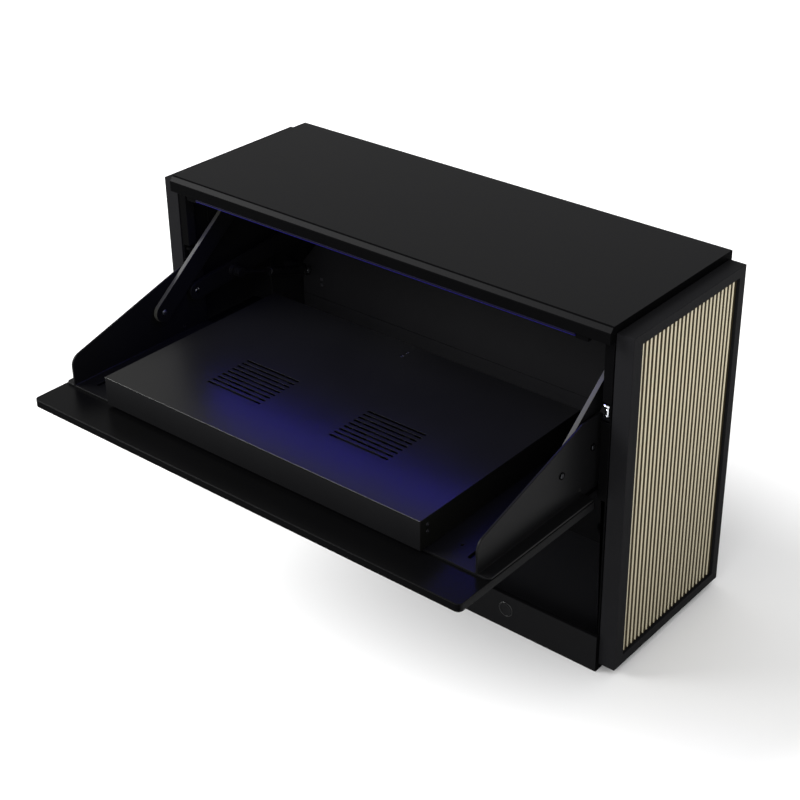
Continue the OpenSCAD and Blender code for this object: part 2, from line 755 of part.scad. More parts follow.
// A bracket is a foot on the flap and an upright flange with both pivots, drawn for the right
module flap_bracket() difference() {
  union() {
    translate([0, 0, flap_top_z]) linear_extrude(bracket_t) polygon(rounded([
      [foot_inner, -flange_out], [foot_outer, -flange_out], [foot_outer, -flap_step - over],
      [flange_x, -flap_step - over], [flange_x, flange_back], [foot_inner, flange_back]],
      [0, flap_corner_r, flap_corner_r / 2, 0, 0, flap_corner_r]));
    along_x(flange_inner_x, flange_x) polygon(rounded([[-flange_out, foot_top_z],
      [-flange_out, pivot_a_z - pivot_gap_z], [small_hole_y, flange_top], [flange_back, flange_top],
      [flange_back, flap_top_z]],
      [0, flange_front_r, flange_top_r, flange_top_r, flange_back_r]));
  }
  rod_x(flange_inner_x - over, flange_x + over, pivot_a, pin_r + play);
  rod_x(flange_inner_x - over, flange_x + over, pivot_b, pin_r + play);
  rod_x(flange_inner_x - over, flange_x + over, [small_hole_y, small_hole_z], small_hole_d / 2);
  translate([foot_slot_x, foot_slot_y, flap_top_z - over]) rotate(90)
    linear_extrude(bracket_t + 2 * over) slot_2d(foot_slot_l, foot_slot_w);
  translate([foot_hole_x, foot_hole_y, flap_top_z - over])
    cylinder(h = bracket_t + 2 * over, d = foot_hole_d);
}

module flap_bracket_left() color(colour_black) placed() mirror([1, 0, 0]) flap_bracket();
module flap_bracket_right() color(colour_black) placed() flap_bracket();

module flap_pins() color("silver") placed() mirrored_x() {
  headed_pin(link_inner_x, flange_x + nut_h, pivot_a);
  rod_x(flange_inner_x, flange_x + nut_h, pivot_b, pin_r);
}

// Bushes between the links and the flanges, and the nuts outside
module pivot_bushes() color("#6a6a6c") placed() mirrored_x() {
  difference() {
    rod_x(link_outer_x + side_gap, flange_inner_x, pivot_a, bush_r);
    rod_x(link_outer_x, flange_x, pivot_a, pin_r + play);
  }
  for (c = [pivot_a, pivot_b]) difference() {
    rod_x(flange_x, flange_x + nut_h, c, nut_r);
    rod_x(flange_x - over, flange_x + nut_h + over, c, pin_r + play);
  }
}

// Flat bolts under the tray hold each bracket to the flap
module flap_bolts() color("silver") placed() mirrored_x() for (i = [0:foot_bolt_count - 1])
  translate([foot_bolt_x, -flange_out + foot_bolt_end
      + i * (flange_out + flange_back - 2 * foot_bolt_end) / (foot_bolt_count - 1), foot_top_z])
    cylinder(h = screw_h, r = foot_bolt_r);

module tray_cover() color(colour_black) placed() difference() {
  block([-tray_half, tray_front, tray_z], [tray_half, tray_back, tray_top_z]);
  block([-tray_half + tray_t, tray_front + tray_t, tray_z - over],
    [tray_half - tray_t, tray_back - tray_t, tray_top_z - tray_t]);
  for (x = [-grille_x, grille_x], i = [0:slot_count - 1])
    translate([x, grille_y + (i - (slot_count - 1) / 2) * slot_pitch, tray_top_z - tray_t - over])
      linear_extrude(tray_t + 2 * over) slot_2d(slot_l, slot_w);
  for (y = [top_screw_low, top_screw_low + top_screw_gap])
    translate([0, tray_back - y, tray_top_z - tray_t - over])
      cylinder(h = tray_t + 2 * over, r = screw_r + play);
}

module tray_base() color(colour_black) placed() difference() {
  block([-tray_half + tray_t, tray_front + tray_t, tray_z],
    [tray_half - tray_t, tray_back - tray_t, tray_z + tray_t]);
  for (x = [-grille_x, grille_x]) translate([x, grille_y, tray_z - over])
    cylinder(h = tray_t + 2 * over, r = fan_side * intake_share);
}

// Pads hold the tray off the bracket feet
module tray_pads() color("#151515") placed() mirrored_x() for (y = [pad_y, -flap_step - pad_l])
  block([foot_bolt_x - pad_w / 2, y, foot_top_z], [foot_bolt_x + pad_w / 2, y + pad_l, tray_z]);

module tray_screws() color("silver") placed() {
  for (y = [top_screw_low, top_screw_low + top_screw_gap])
    translate([0, tray_back - y, tray_top_z - tray_t]) cylinder(h = screw_h, r = screw_r);
  mirrored_x() for (z = [side_screw_low, side_screw_high])
    rod_x(tray_half, tray_half + screw_h, [tray_front + side_screw_y, tray_top_z - z], screw_r);
}

module fan_frame(x) translate([x, grille_y, fan_z]) {
  linear_extrude(fan_t) difference() {
    square(fan_side, center = true);
    circle(fan_bore_r);
    for (i = [-1, 1], j = [-1, 1])
      translate([i * (fan_side / 2 - fan_hole_inset), j * (fan_side / 2 - fan_hole_inset)])
        circle(fan_hole_r);
  }
  cylinder(h = hub_plate_t, r = hub_r);
  for (a = [0:90:270]) rotate(a) translate([hub_r - over, -strut_bar_w / 2, 0])
    cube([fan_bore_r - hub_r + 2 * over, strut_bar_w, hub_plate_t]);
  cylinder(h = fan_t / 2, r = shaft_r);
}

module fan_frame_left() color("#1b1b1c") placed() fan_frame(-grille_x);
module fan_frame_right() color("#1b1b1c") placed() fan_frame(grille_x);

// A rotor's hub turns on the frame's shaft, and its blades are set at an angle
module fan_rotor(x) translate([x, grille_y, fan_z + hub_plate_t + rotor_clear]) difference() {
  blade_h = fan_t - hub_plate_t - 2 * rotor_clear;
  union() {
    cylinder(h = blade_h, r = hub_r);
    intersection() {
      cylinder(h = blade_h, r = fan_bore_r - blade_gap);
      for (i = [0:blade_count - 1]) rotate(i * 360 / blade_count) translate([0, 0, blade_h / 2])
        rotate([blade_pitch_angle, 0, 0]) translate([0, -blade_t / 2, -blade_h])
          cube([fan_side, blade_t, 2 * blade_h]);
    }
  }
  translate([0, 0, -over]) cylinder(h = fan_t / 2 + 2 * over, r = shaft_r + play);
}

module fan_rotor_left() color("#232325") placed() fan_rotor(-grille_x);
module fan_rotor_right() color("#232325") placed() fan_rotor(grille_x);

module front_link() difference() {
  along_x(link_inner_x, link_outer_x) bar_2d(pivot_a, ground_a, front_link_w / 2);
  for (c = [pivot_a, ground_a]) rod_x(link_inner_x - over, link_outer_x + over, c, pin_r + play);
}

module front_link_left() color(colour_black) placed() mirror([1, 0, 0]) front_link();
module front_link_right() color(colour_black) placed() front_link();

// A rear link carries the collar that its strut pushes on
module rear_link() difference() {
  union() {
    along_x(link_inner_x, link_outer_x) bar_2d(pivot_b, ground_b, rear_link_w / 2);
    rod_x(link_inner_x - collar_h, link_inner_x, strut_top, collar_r);
  }
  rod_x(link_inner_x - over, link_outer_x + over, pivot_b, pin_r);
  rod_x(link_inner_x - over, link_outer_x + over, ground_b, pin_r + play);
  rod_x(link_inner_x - collar_h - over, link_inner_x, strut_top, collar_bore_r);
}

module rear_link_left() color(colour_black) placed() mirror([1, 0, 0]) rear_link();
module rear_link_right() color(colour_black) placed() rear_link();

// The stud at the flap end of a rear link ends short of the flange
module rear_link_stud() headed_pin(link_inner_x + side_gap, flange_inner_x - side_gap, pivot_b);

module rear_link_stud_left() color("silver") placed() mirror([1, 0, 0]) rear_link_stud();
module rear_link_stud_right() color("silver") placed() rear_link_stud();

// A strut is drawn along X from its lower pivot and turned into place
module on_strut() translate([strut_x, strut_ground.x, strut_ground.y])
  rotate([strut_angle, 0, 0]) children();

module strut_tube() on_strut() difference() {
  union() {
    translate([-tube_eye_w / 2, 0, 0]) rotate([0, 90, 0]) cylinder(h = tube_eye_w, r = tube_eye_r);
    rotate([-90, 0, 0]) cylinder(h = tube_start + over, r = tube_neck_r);
    translate([0, tube_start, 0]) rotate([-90, 0, 0])
      cylinder(h = tube_l - tube_start, r = tube_d / 2);
  }
  translate([-tube_eye_w / 2 - over, 0, 0]) rotate([0, 90, 0])
    cylinder(h = tube_eye_w + 2 * over, r = pin_r + play);
  translate([0, tube_bore_start, 0]) rotate([-90, 0, 0])
    cylinder(h = tube_l - tube_bore_start - guide_l, r = tube_bore_r);
  translate([0, tube_l - guide_l - over, 0]) rotate([-90, 0, 0])
    cylinder(h = guide_l + 2 * over, r = rod_r + play);
}

module strut_tube_left() color("#242426") placed() mirror([1, 0, 0]) strut_tube();
module strut_tube_right() color("#242426") placed() strut_tube();

module strut_rod() on_strut() {
  translate([tube_d / 2 - rod_eye_t, strut_l, 0]) rotate([0, 90, 0])
    cylinder(h = rod_eye_t, r = rod_eye_r);
  translate([0, tube_l - rod_in, 0]) rotate([-90, 0, 0])
    cylinder(h = strut_l - tube_l + rod_in, r = rod_r);
  translate([0, tube_l - rod_in - piston_l, 0]) rotate([-90, 0, 0])
    cylinder(h = piston_l, r = tube_bore_r - play);
}

module strut_rod_left() color("silver") placed() mirror([1, 0, 0]) strut_rod();
module strut_rod_right() color("silver") placed() strut_rod();

top_cover();
base_shell();
side_wall_left();
side_wall_right();
end_frame_left();
end_frame_right();
reed_panel_left();
reed_panel_right();
panel_battens();
lower_back_panel();
upper_back_panel();
rear_cover();
wall_rails();
light_channel();
light_board();
light_lens();
light_end_caps();
front_pivot_brackets();
rear_pivot_brackets();
ground_pins();
catch_pins();
cable_grommet();
button_bezel();
button_switch();
power_button();
control_box();
power_inlet();
cabinet_screws();
flap_pan();
flap_liner();
flap_ribs();
flap_bracket_left();
flap_bracket_right();
flap_pins();
pivot_bushes();
flap_bolts();
tray_cover();
tray_base();
tray_pads();
tray_screws();
fan_frame_left();
fan_frame_right();
fan_rotor_left();
fan_rotor_right();
front_link_left();
front_link_right();
rear_link_left();
rear_link_right();
rear_link_stud_left();
rear_link_stud_right();
strut_tube_left();
strut_tube_right();
strut_rod_left();
strut_rod_right();
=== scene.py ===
"""Looks of a wide steel wall cabinet: folded and powder-coated sheet, reeded ends, a lit lip,
a fold-down shelf with a ventilated tray, and the links and struts that carry it."""

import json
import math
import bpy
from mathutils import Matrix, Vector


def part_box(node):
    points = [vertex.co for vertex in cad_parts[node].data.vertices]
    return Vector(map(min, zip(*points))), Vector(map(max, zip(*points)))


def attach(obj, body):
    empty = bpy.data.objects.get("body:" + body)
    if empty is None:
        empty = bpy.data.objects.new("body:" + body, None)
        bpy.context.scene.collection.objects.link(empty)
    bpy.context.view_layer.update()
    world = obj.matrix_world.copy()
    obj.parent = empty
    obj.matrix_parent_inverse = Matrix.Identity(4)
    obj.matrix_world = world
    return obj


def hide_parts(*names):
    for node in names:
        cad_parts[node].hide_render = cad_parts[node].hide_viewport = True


bl_info = {
    "name": "Projector Wall Cabinet",
    "version": (1, 0, 0),
    "blender": (4, 5, 0),
    "location": "3D View > Sidebar > Cabinet",
    "description": "Dresses the packed cabinet in its sheet steel, reeds, light and linkage",
    "category": "Object",
}

import bmesh
import bpy
from bpy.props import FloatProperty, FloatVectorProperty, IntProperty
from mathutils import Vector

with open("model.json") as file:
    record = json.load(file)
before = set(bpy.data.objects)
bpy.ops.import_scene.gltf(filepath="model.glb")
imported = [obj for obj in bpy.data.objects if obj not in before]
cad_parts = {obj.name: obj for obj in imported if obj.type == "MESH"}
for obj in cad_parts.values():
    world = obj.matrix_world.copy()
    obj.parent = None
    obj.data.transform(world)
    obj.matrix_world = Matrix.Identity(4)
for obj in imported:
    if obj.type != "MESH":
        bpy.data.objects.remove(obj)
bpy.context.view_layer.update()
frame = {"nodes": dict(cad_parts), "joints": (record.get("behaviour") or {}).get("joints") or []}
MM = 0.001
JOINTS = {j["name"]: j for j in frame["joints"]}
SIDES = (("left", -1), ("right", 1))
QUARTER = math.pi / 2
UP = (0, 0, 1)
BACK = (0, 1, 0)
# An edge this near to a plane of a node lies in it.
TOUCH = 0.1 * MM
# An edge at least this long runs along the whole cabinet.
LONG = 500 * MM
# The share of an axis in a normal that makes a face look along it, and roughly along it
FACING = 0.9
ROUGHLY = 0.8
# Points nearer than this are one point. Faces that turn less than this are one face.
WELD = 0.004 * MM
FLAT = math.radians(0.6)
# The least turn of an edge that may be a fold, and of a cut edge, which gets rounded
FOLD_TURN = math.radians(30)
CUT_TURN = math.radians(38)
# The body and the slot of most of the cabinet's fixed sheets
SHELL = ("cabinet", "black_steel")
# The finishes and the node trees, by their short names, once they are made
MADE = {}
TREES = {}


def linear(code):
    """Turns an sRGB hex colour into Blender's linear values."""
    parts = [int(code[i : i + 2], 16) / 255 for i in (1, 3, 5)]
    return tuple(p / 12.92 if p <= 0.04045 else ((p + 0.055) / 1.055) ** 2.4 for p in parts)


# Settings that a user would change


def length(name, description, default, low, high):
    """A length that the sidebar shows, given in millimetres."""
    return FloatProperty(
        name=name, description=description, default=default * MM, min=low * MM, max=high * MM, unit="LENGTH"
    )


def colour(name, description, code):
    """A colour that the sidebar shows, given as an sRGB hex value."""
    return FloatVectorProperty(
        name=name, description=description, default=linear(code), size=3, subtype="COLOR", min=0, max=1
    )


class CabinetSettings(bpy.types.PropertyGroup):
    edge_radius: length("Edge radius", "Radius of a cut edge of the sheet under its coat", 0.45, 0.1, 0.9)
    fold_radius: length("Fold radius", "Outer radius of a fold in the sheet", 1.9, 0.5, 3)
    corner_radius: length(
        "Tray corner radius", "Radius of the fold at the tray's two front corners", 1.4, 0.8, 4
    )
    reed_count: IntProperty(
        name="Reeds", description="Number of reeds on an end panel", default=24, min=5, max=60
    )
    reed_gap: length("Reed gap", "Open groove between two reeds", 7.8, 2, 8.5)
    light_pitch: length("Light pitch", "Distance between two chips of the light strip", 16.6, 5, 50)
    coat_colour: colour("Coat", "Colour of the powder coat", "#0d0d0e")
    reed_colour: colour("Reeds", "Colour of the lacquered reeds", "#d3c9ac")
    glow_colour: colour("Light", "Colour of the light strip", "#3a2cff")


def settings():
    return bpy.context.scene.cabinet


# Materials


def add(tree, kind, inputs=None, **values):
    """Adds a node, sets its values, and sets or links its inputs."""
    made = tree.nodes.new(kind)
    for key, value in values.items():
        setattr(made, key, value)
    for key, value in (inputs or {}).items():
        if isinstance(value, bpy.types.NodeSocket):
            tree.links.new(value, made.inputs[key])
        else:
            made.inputs[key].default_value = value
    return made


def fresh_material(name, level=0.5, **sockets):
    """Starts a material whose shader holds the given specular level and other uniform values."""
    material = bpy.data.materials.new(name)
    material.use_nodes = True
    tree = material.node_tree
    tree.nodes.clear()
    shader = add(tree, "ShaderNodeBsdfPrincipled", {"Specular IOR Level": level, **sockets})
    add(tree, "ShaderNodeOutputMaterial", {"Surface": shader.outputs[0]})
    place = add(tree, "ShaderNodeTexCoord").outputs["Object"]
    return material, tree, shader, place


def speckle(tree, place, size, detail=2.0, stretch=(1, 1, 1)):
    """Noise whose features are about the given size in metres."""
    scale = [s / size for s in stretch]
    moved = add(tree, "ShaderNodeMapping", {"Vector": place, "Scale": scale})
    noise = add(
        tree, "ShaderNodeTexNoise", {"Vector": moved.outputs[0], "Scale": 1.0, "Detail": detail}
    )
    return noise.outputs["Fac"]


def share_of(tree, *patterns, start=0.3, end=0.7):
    """Adds up patterns. The middle of each, from start to end, is spread over its two values."""
    total = 0.0
    for pattern, low, high in patterns:
        span = {"Value": pattern, "From Min": start, "From Max": end, "To Min": low, "To Max": high}
        part = add(tree, "ShaderNodeMapRange", span).outputs["Result"]
        total = add(tree, "ShaderNodeMath", {0: total, 1: part}).outputs[0]
    return total


def shaded(colour, share, blue=1.0):
    """A colour made lighter or darker, and warmer where its blue is cut."""
    shares = (share, share, share * blue)
    return tuple(min(1, c * part) for c, part in zip(colour, shares))


def two_tone(tree, share, colour, first, last, *sockets):
    """Blends two shades of a colour by a share, and links the blend to the sockets."""
    shades = {"Factor": share, "A": (*shaded(colour, first), 1), "B": (*shaded(colour, last), 1)}
    mixed = add(tree, "ShaderNodeMix", shades, data_type="RGBA").outputs["Result"]
    for socket in sockets:
        tree.links.new(mixed, socket)
    return mixed


def skin(tree, shader, polish, relief):
    """Links a shader's roughness, a pattern spread over two values, and its relief, a pattern
    and its full depth."""
    tree.links.new(share_of(tree, polish), shader.inputs["Roughness"])
    bump = add(tree, "ShaderNodeBump", {"Height": relief[0], "Distance": relief[1]})
    tree.links.new(bump.outputs["Normal"], shader.inputs["Normal"])


def powder_coat(name, colour, rough, peel, level):
    """Polyester powder coat, sprayed on sheet steel and baked. It melts to a soft satin skin with
    a faint orange peel, drawn three times as wide as real so that it shows, and a little haze
    where hands have touched it."""
    material, tree, shader, place = fresh_material(name, level)
    haze = speckle(tree, place, 110 * MM, 3)
    grit = speckle(tree, place, 2.1 * MM)
    share = share_of(tree, (haze, 0.0, 0.7), (grit, 0.0, 0.3))
    two_tone(tree, share, colour, 0.92, 1.1, shader.inputs["Base Color"])
    waves = speckle(tree, place, 4.5 * MM, 1.5)
    skin(tree, shader, (haze, rough - 0.012, rough + 0.012), (waves, peel))
    return material


def lacquered_reed(name, colour):
    """Cream satin lacquer over a straight-grained reed. The grain runs up the reed and shows
    through the thin coat as faint long streaks. The colour is also darkened toward the foot:
    painted shade, where less light falls on the lower reeds."""
    material, tree, shader, place = fresh_material(name, 0.35)
    streak = speckle(tree, place, 1.6 * MM, 3, (1, 1, 0.02))
    broad = speckle(tree, place, 16 * MM, 2, (1, 1, 0.12))
    mixed = two_tone(tree, share_of(tree, (streak, 0.2, 0.5), (broad, 0.0, 0.3)), colour, 0.77, 0.88)
    # Painted shade: the colour darkens toward the foot of the reeds, where less light falls.
    height = add(tree, "ShaderNodeSeparateXYZ", {0: place}).outputs["Z"]
    foot_shade_share = share_of(tree, (height, 0.72, 1.0), start=60 * MM, end=480 * MM)
    foot_shade = add(tree, "ShaderNodeHueSaturation", {"Color": mixed, "Value": foot_shade_share})
    tree.links.new(foot_shade.outputs["Color"], shader.inputs["Base Color"])
    skin(tree, shader, (streak, 0.42, 0.54), (streak, 0.02 * MM))
    return material


def stained_board(name, colour):
    """Hardboard behind the reeds, stained olive black, with a felted surface."""
    material, tree, shader, place = fresh_material(name, 0.1)
    felt = speckle(tree, place, 2.2 * MM, 4)
    two_tone(tree, share_of(tree, (felt, 0.0, 1.0)), colour, 0.7, 1.3, shader.inputs["Base Color"])
    skin(tree, shader, (felt, 0.75, 0.9), (felt, 0.3 * MM))
    return material


def softwood(name, colour):
    """Planed spruce, with growth rings that run along the batten."""
    material, tree, shader, place = fresh_material(name, 0.3)
    warp = speckle(tree, place, 50 * MM, 2, (1, 1, 0.15))
    moved = add(tree, "ShaderNodeMapping", {"Vector": place, "Scale": (1, 1, 0.04)}).outputs[0]
    waves = {"Vector": moved, "Scale": 60.0, "Distortion": 5.0, "Detail": 2.0}
    rings = add(tree, "ShaderNodeTexWave", waves).outputs["Fac"]
    factors = {0: rings, 1: share_of(tree, (warp, 0.6, 1.0))}
    grain = add(tree, "ShaderNodeMath", factors, operation="MULTIPLY").outputs[0]
    two_tone(tree, grain, colour, 1.15, 0.62, shader.inputs["Base Color"])
    skin(tree, shader, (warp, 0.5, 0.65), (grain, 0.1 * MM))
    return material


def plated_metal(name, colour, rough, grain, stretch=(1, 1, 1)):
    """Bright plating over turned or rolled steel. Fine tool marks run one way and soften the
    mirror a little."""
    material, tree, shader, place = fresh_material(name, Metallic=1.0)
    marks = speckle(tree, place, grain, 3, stretch)
    cloud = speckle(tree, place, 12 * MM)
    two_tone(tree, share_of(tree, (cloud, 0.0, 1.0)), colour, 0.9, 1.04, shader.inputs["Base Color"])
    skin(tree, shader, (marks, rough * 0.8, rough * 1.3), (marks, 0.04 * MM))
    return material


def moulded_plastic(name, colour, rough, spark, level=0.4):
    """Moulded plastic with the fine spark-eroded texture of its tool."""
    material, tree, shader, place = fresh_material(name, level)
    texture = speckle(tree, place, spark)
    cloud = speckle(tree, place, 30 * MM)
    two_tone(tree, share_of(tree, (cloud, 0.0, 1.0)), colour, 0.9, 1.12, shader.inputs["Base Color"])
    skin(tree, shader, (texture, rough - 0.04, rough + 0.05), (texture, 0.12 * MM))
    return material


def synthetic_rubber(name, colour):
    """Black rubber, matt and dusty in its pores."""
    material, tree, shader, place = fresh_material(name, 0.25)
    pores = speckle(tree, place, 1.2 * MM, 3)
    dust = share_of(tree, (speckle(tree, place, 20 * MM, 3), 0.0, 1.0), start=0.45, end=0.75)
    two_tone(tree, dust, colour, 1.0, 2.0, shader.inputs["Base Color"])
    skin(tree, shader, (pores, 0.7, 0.85), (pores, 0.2 * MM))
    return material


def lit_acrylic(name, colour, strength):
    """Opal acrylic over the chips. It is lit from behind along its lower edge, a little brighter
    in front of each chip than between them."""
    material, tree, shader, place = fresh_material(name, 0.03, Roughness=0.3)
    shader.inputs["Base Color"].default_value = (*linear("#0c0b12"), 1)
    scale = (1 / settings().light_pitch, 0, 0)
    placing = {"Vector": place, "Location": (0.25, 0, 0), "Scale": scale}
    moved = add(tree, "ShaderNodeMapping", placing).outputs[0]
    wave = add(tree, "ShaderNodeTexWave", {"Vector": moved, "Scale": 0.5}).outputs["Fac"]
    two_tone(tree, wave, colour, 0.75, 1.0, shader.inputs["Emission Color"])
    height = add(tree, "ShaderNodeSeparateXYZ", {"Vector": place}).outputs["Z"]
    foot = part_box("light_lens")[0].z
    lit = (height, strength, strength * 0.06)
    lower = share_of(tree, lit, start=foot + 0.5 * MM, end=foot + 1.3 * MM)
    tree.links.new(lower, shader.inputs["Emission Strength"])
    return material


def chip_resin(name, colour, strength):
    """Clear resin of a light chip, lit from inside."""
    material, tree, shader, place = fresh_material(name, Roughness=0.25)
    share = share_of(tree, (speckle(tree, place, 1.5 * MM, 1), 0.0, 1.0))
    both = (shader.inputs["Base Color"], shader.inputs["Emission Color"])
    two_tone(tree, share, colour, 0.8, 1.1, *both)
    shader.inputs["Emission Strength"].default_value = strength
    return material


def finishes():
    """All the finishes of the cabinet, by the words that the pieces use for them."""
    if MADE:
        return MADE
    coat = tuple(settings().coat_colour)
    glow = tuple(settings().glow_colour)
    # Each coat has its name, colour, roughness, depth of peel in millimetres and specular level.
    coats = {
        "shell": ("Black matt powder coat, shell", coat, 0.42, 0.05, 0.03),
        "inside": ("Black matt powder coat, inside", shaded(coat, 1.5), 0.5, 0.05, 0.05),
        "frame": ("Black matt powder coat, end frames", shaded(coat, 2.0), 0.5, 0.05, 0.012),
        "flap": ("Black satin powder coat, flap", shaded(coat, 0.4), 0.3, 0.02, 0.034),
        # Painted highlight: a light grey coat, laid on the tray's front fold where light catches it.
        "fold_highlight": ("Powder coat, painted highlight on a fold", linear("#5c5c5a"), 0.4, 0.03, 0.3),
        # Painted highlight: a grey coat laid on the narrow edges of the front links, where light catches
        # them.
        "link_highlight": ("Powder coat, painted highlight, links", linear("#3b3b38"), 0.4, 0.03, 0.08),
        "tray": ("Black smooth powder coat, tray", shaded(coat, 1.1, 0.8), 0.29, 0.001, 0.11),
        "bracket": ("Black satin powder coat, brackets", coat, 0.36, 0.03, 0.06),
        # Painted shade: a darker, almost unreflecting copy of the shell coat. It is laid on faces to paint
        # shade on them, such as the cover's ends and lip and the flap's lower fold. It is also the plain
        # dark finish of the light's end caps and the cable grommet.
        "edge": ("Black powder coat, painted shade", shaded(coat, 0.4), 0.6, 0.03, 0.006),
        "links": ("Black powder coat, links", shaded(coat, 0.9), 0.4, 0.04, 0.05),
        "grey": ("Dark grey primer coat", linear("#242427"), 0.55, 0.06, 0.1),
    }
    # Each plating has its name, colour, roughness, size of mark in millimetres and its stretch.
    platings = {
        "chrome": ("Polished nickel plate", "#c9cbd0", 0.16, 0.9, (1, 1, 0.1)),
        "zinc": ("Clear zinc plate on steel", "#8b8f96", 0.34, 1.2, (1, 1, 1)),
        "black_zinc": ("Black zinc plate on steel", "#2c2c2f", 0.4, 1.2, (1, 1, 1)),
        "alloy": ("Anodised aluminium", "#8f9297", 0.36, 0.8, (0.02, 1, 1)),
    }
    # Each plastic has its name, colour, roughness, size of grain in millimetres and specular level.
    plastics = {
        "plastic": ("Black ABS, moulded", "#0c0c0d", 0.48, 0.9, 0.06),
        "nylon": ("Grey nylon, moulded", "#2c2c2f", 0.5, 0.8, 0.1),
        "gloss": ("Black ABS, polished", "#0b0b0c", 0.24, 0.9, 0.22),
        "fan": ("Black PBT, fans", "#060607", 0.5, 0.9, 0.02),
        "circuit": ("White solder mask", "#b8b9bd", 0.35, 1.1, 0.4),
    }
    for key, (name, colour, rough, peel, level) in coats.items():
        MADE[key] = powder_coat(name, colour, rough, peel * MM, level)
    for key, (name, code, rough, grain, stretch) in platings.items():
        MADE[key] = plated_metal(name, linear(code), rough, grain * MM, stretch)
    for key, (name, code, rough, spark, level) in plastics.items():
        MADE[key] = moulded_plastic(name, linear(code), rough, spark * MM, level)
    MADE.update(
        reed=lacquered_reed("Cream lacquer on reed", tuple(settings().reed_colour)),
        board=stained_board("Stained hardboard", linear("#2a2416")),
        wood=softwood("Planed spruce", linear("#c9a574")),
        rubber=synthetic_rubber("Black EPDM rubber", linear("#0b0b0b")),
        lens=lit_acrylic("Opal acrylic, lit", glow, 0.24),
        chip=chip_resin("Light chip resin", glow, 3.0),
    )
    return MADE


# Mesh work


def placed(name, data):
    """Puts a mesh, light or camera in the scene as an object."""
    held = bpy.data.objects.new(name, data)
    bpy.context.scene.collection.objects.link(held)
    return held


def applied(holder):
    """The mesh that an object's modifiers make. The object is taken away."""
    ready = holder.evaluated_get(bpy.context.evaluated_depsgraph_get())
    mesh = bpy.data.meshes.new_from_object(ready)
    bpy.data.objects.remove(holder)
    return mesh


def object_from(name, mesh, body, slot, *stands_for):
    """Puts a finished mesh in the scene as a piece that rides on a body."""
    piece = placed(name, mesh)
    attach(piece, body)
    if stands_for:
        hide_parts(*stands_for)
    return piece


def mesh_from(name, work, *materials, crease=None):
    """The smooth mesh of a work mesh, creased where it turns more than the given degrees."""
    mesh = bpy.data.meshes.new(name)
    work.to_mesh(mesh)
    work.free()
    for material in materials:
        mesh.materials.append(material)
    mesh.shade_smooth()
    if crease:
        mesh.set_sharp_from_angle(angle=math.radians(crease))
    return mesh


def round_edges(piece, radius):
    """Rounds the cut edges of a piece by the given radius."""
    bevel = piece.modifiers.new("rounded edges", "BEVEL")
    bevel.width = radius
    bevel.segments = 2
    bevel.limit_method = "ANGLE"
    bevel.angle_limit = CUT_TURN
    bevel.use_clamp_overlap = False
    bevel.miter_outer = "MITER_ARC"
    flat = piece.modifiers.new("flat faces stay flat", "WEIGHTED_NORMAL")
    flat.mode = "FACE_AREA"
    flat.weight = 60
    return piece


def copy_of(node):
    """A merged copy of a CAD node's mesh, with its flat faces made whole."""
    work = bmesh.new()
    work.from_mesh(frame["nodes"][node].data)
    bmesh.ops.remove_doubles(work, verts=work.verts, dist=WELD)
    bmesh.ops.dissolve_limit(work, angle_limit=FLAT, verts=work.verts, edges=work.edges)
    return work


def fold(work, chosen, radius, steps=4):
    """Rounds the folds of a sheet: the sharp edges for which chosen(start, end) is true."""
    edges = [
        e
        for e in work.edges
        if len(e.link_faces) == 2
        and e.calc_face_angle(0) > FOLD_TURN
        and chosen(e.verts[0].co, e.verts[1].co)
    ]
    if edges:
        shape = {"offset": radius, "offset_type": "OFFSET", "segments": steps, "profile": 0.5}
        bmesh.ops.bevel(work, geom=edges, affect="EDGES", clamp_overlap=True, **shape)


def add_box(work, low, high):
    """Adds a box between two corners to a work mesh, and gives back its faces."""
    corners = bmesh.ops.create_cube(work, size=1)["verts"]
    for v in corners:
        v.co = [low[i] if v.co[i] < 0 else high[i] for i in range(3)]
    return {face for v in corners for face in v.link_faces}


def cut_away(mesh, low, high):
    """The mesh without what lies in the box between two corners."""
    work = bmesh.new()
    add_box(work, low, high)
    shape = mesh_from("cutter", work)
    shape.shade_flat()
    holder = placed("cut_holder", mesh)
    cutter = placed("cutter", shape)
    cut = holder.modifiers.new("cut", "BOOLEAN")
    cut.object = cutter
    cut.solver = "EXACT"
    left = applied(holder)
    bpy.data.objects.remove(cutter)
    return left


def dressed(node, body, slot, finish, *folds, edge=None, cut=None):
    """A CAD node with its folds and cut edges rounded and its finish on. Each fold is given as
    the test of its edges, its radius and, if need be, its steps."""
    work = copy_of(node)
    for given in folds:
        fold(work, *given)
    mesh = mesh_from(node + "_piece", work, finishes()[finish])
    if cut:
        mesh = cut_away(mesh, *cut)
        mesh.name = node + "_piece"
    piece = object_from(node + "_piece", mesh, body, slot, node)
    return round_edges(piece, edge or settings().edge_radius)


def second_finish(piece, finish, chosen):
    """Gives the faces of a piece for which chosen(centre, normal) is true another finish."""
    piece.data.materials.append(finishes()[finish])
    for face in piece.data.polygons:
        if chosen(face.center, face.normal):
            face.material_index = len(piece.data.materials) - 1


def repaint(finish, *nodes):
    """Gives CAD nodes that keep their own shape their finish."""
    for node in nodes:
        slots = frame["nodes"][node].data.materials
        slots.clear()
        slots.append(finishes()[finish])


def ring_of(work, centre, side, other, radius, steps):
    """A ring of points round a centre, or the centre alone where the radius is nothing."""
    if radius == 0:
        return [work.verts.new(centre)]
    ring = []
    for i in range(steps):
        a = 2 * math.pi * i / steps
        reach = side * (radius * math.cos(a)) + other * (radius * math.sin(a))
        ring.append(work.verts.new(centre + reach))
    return ring


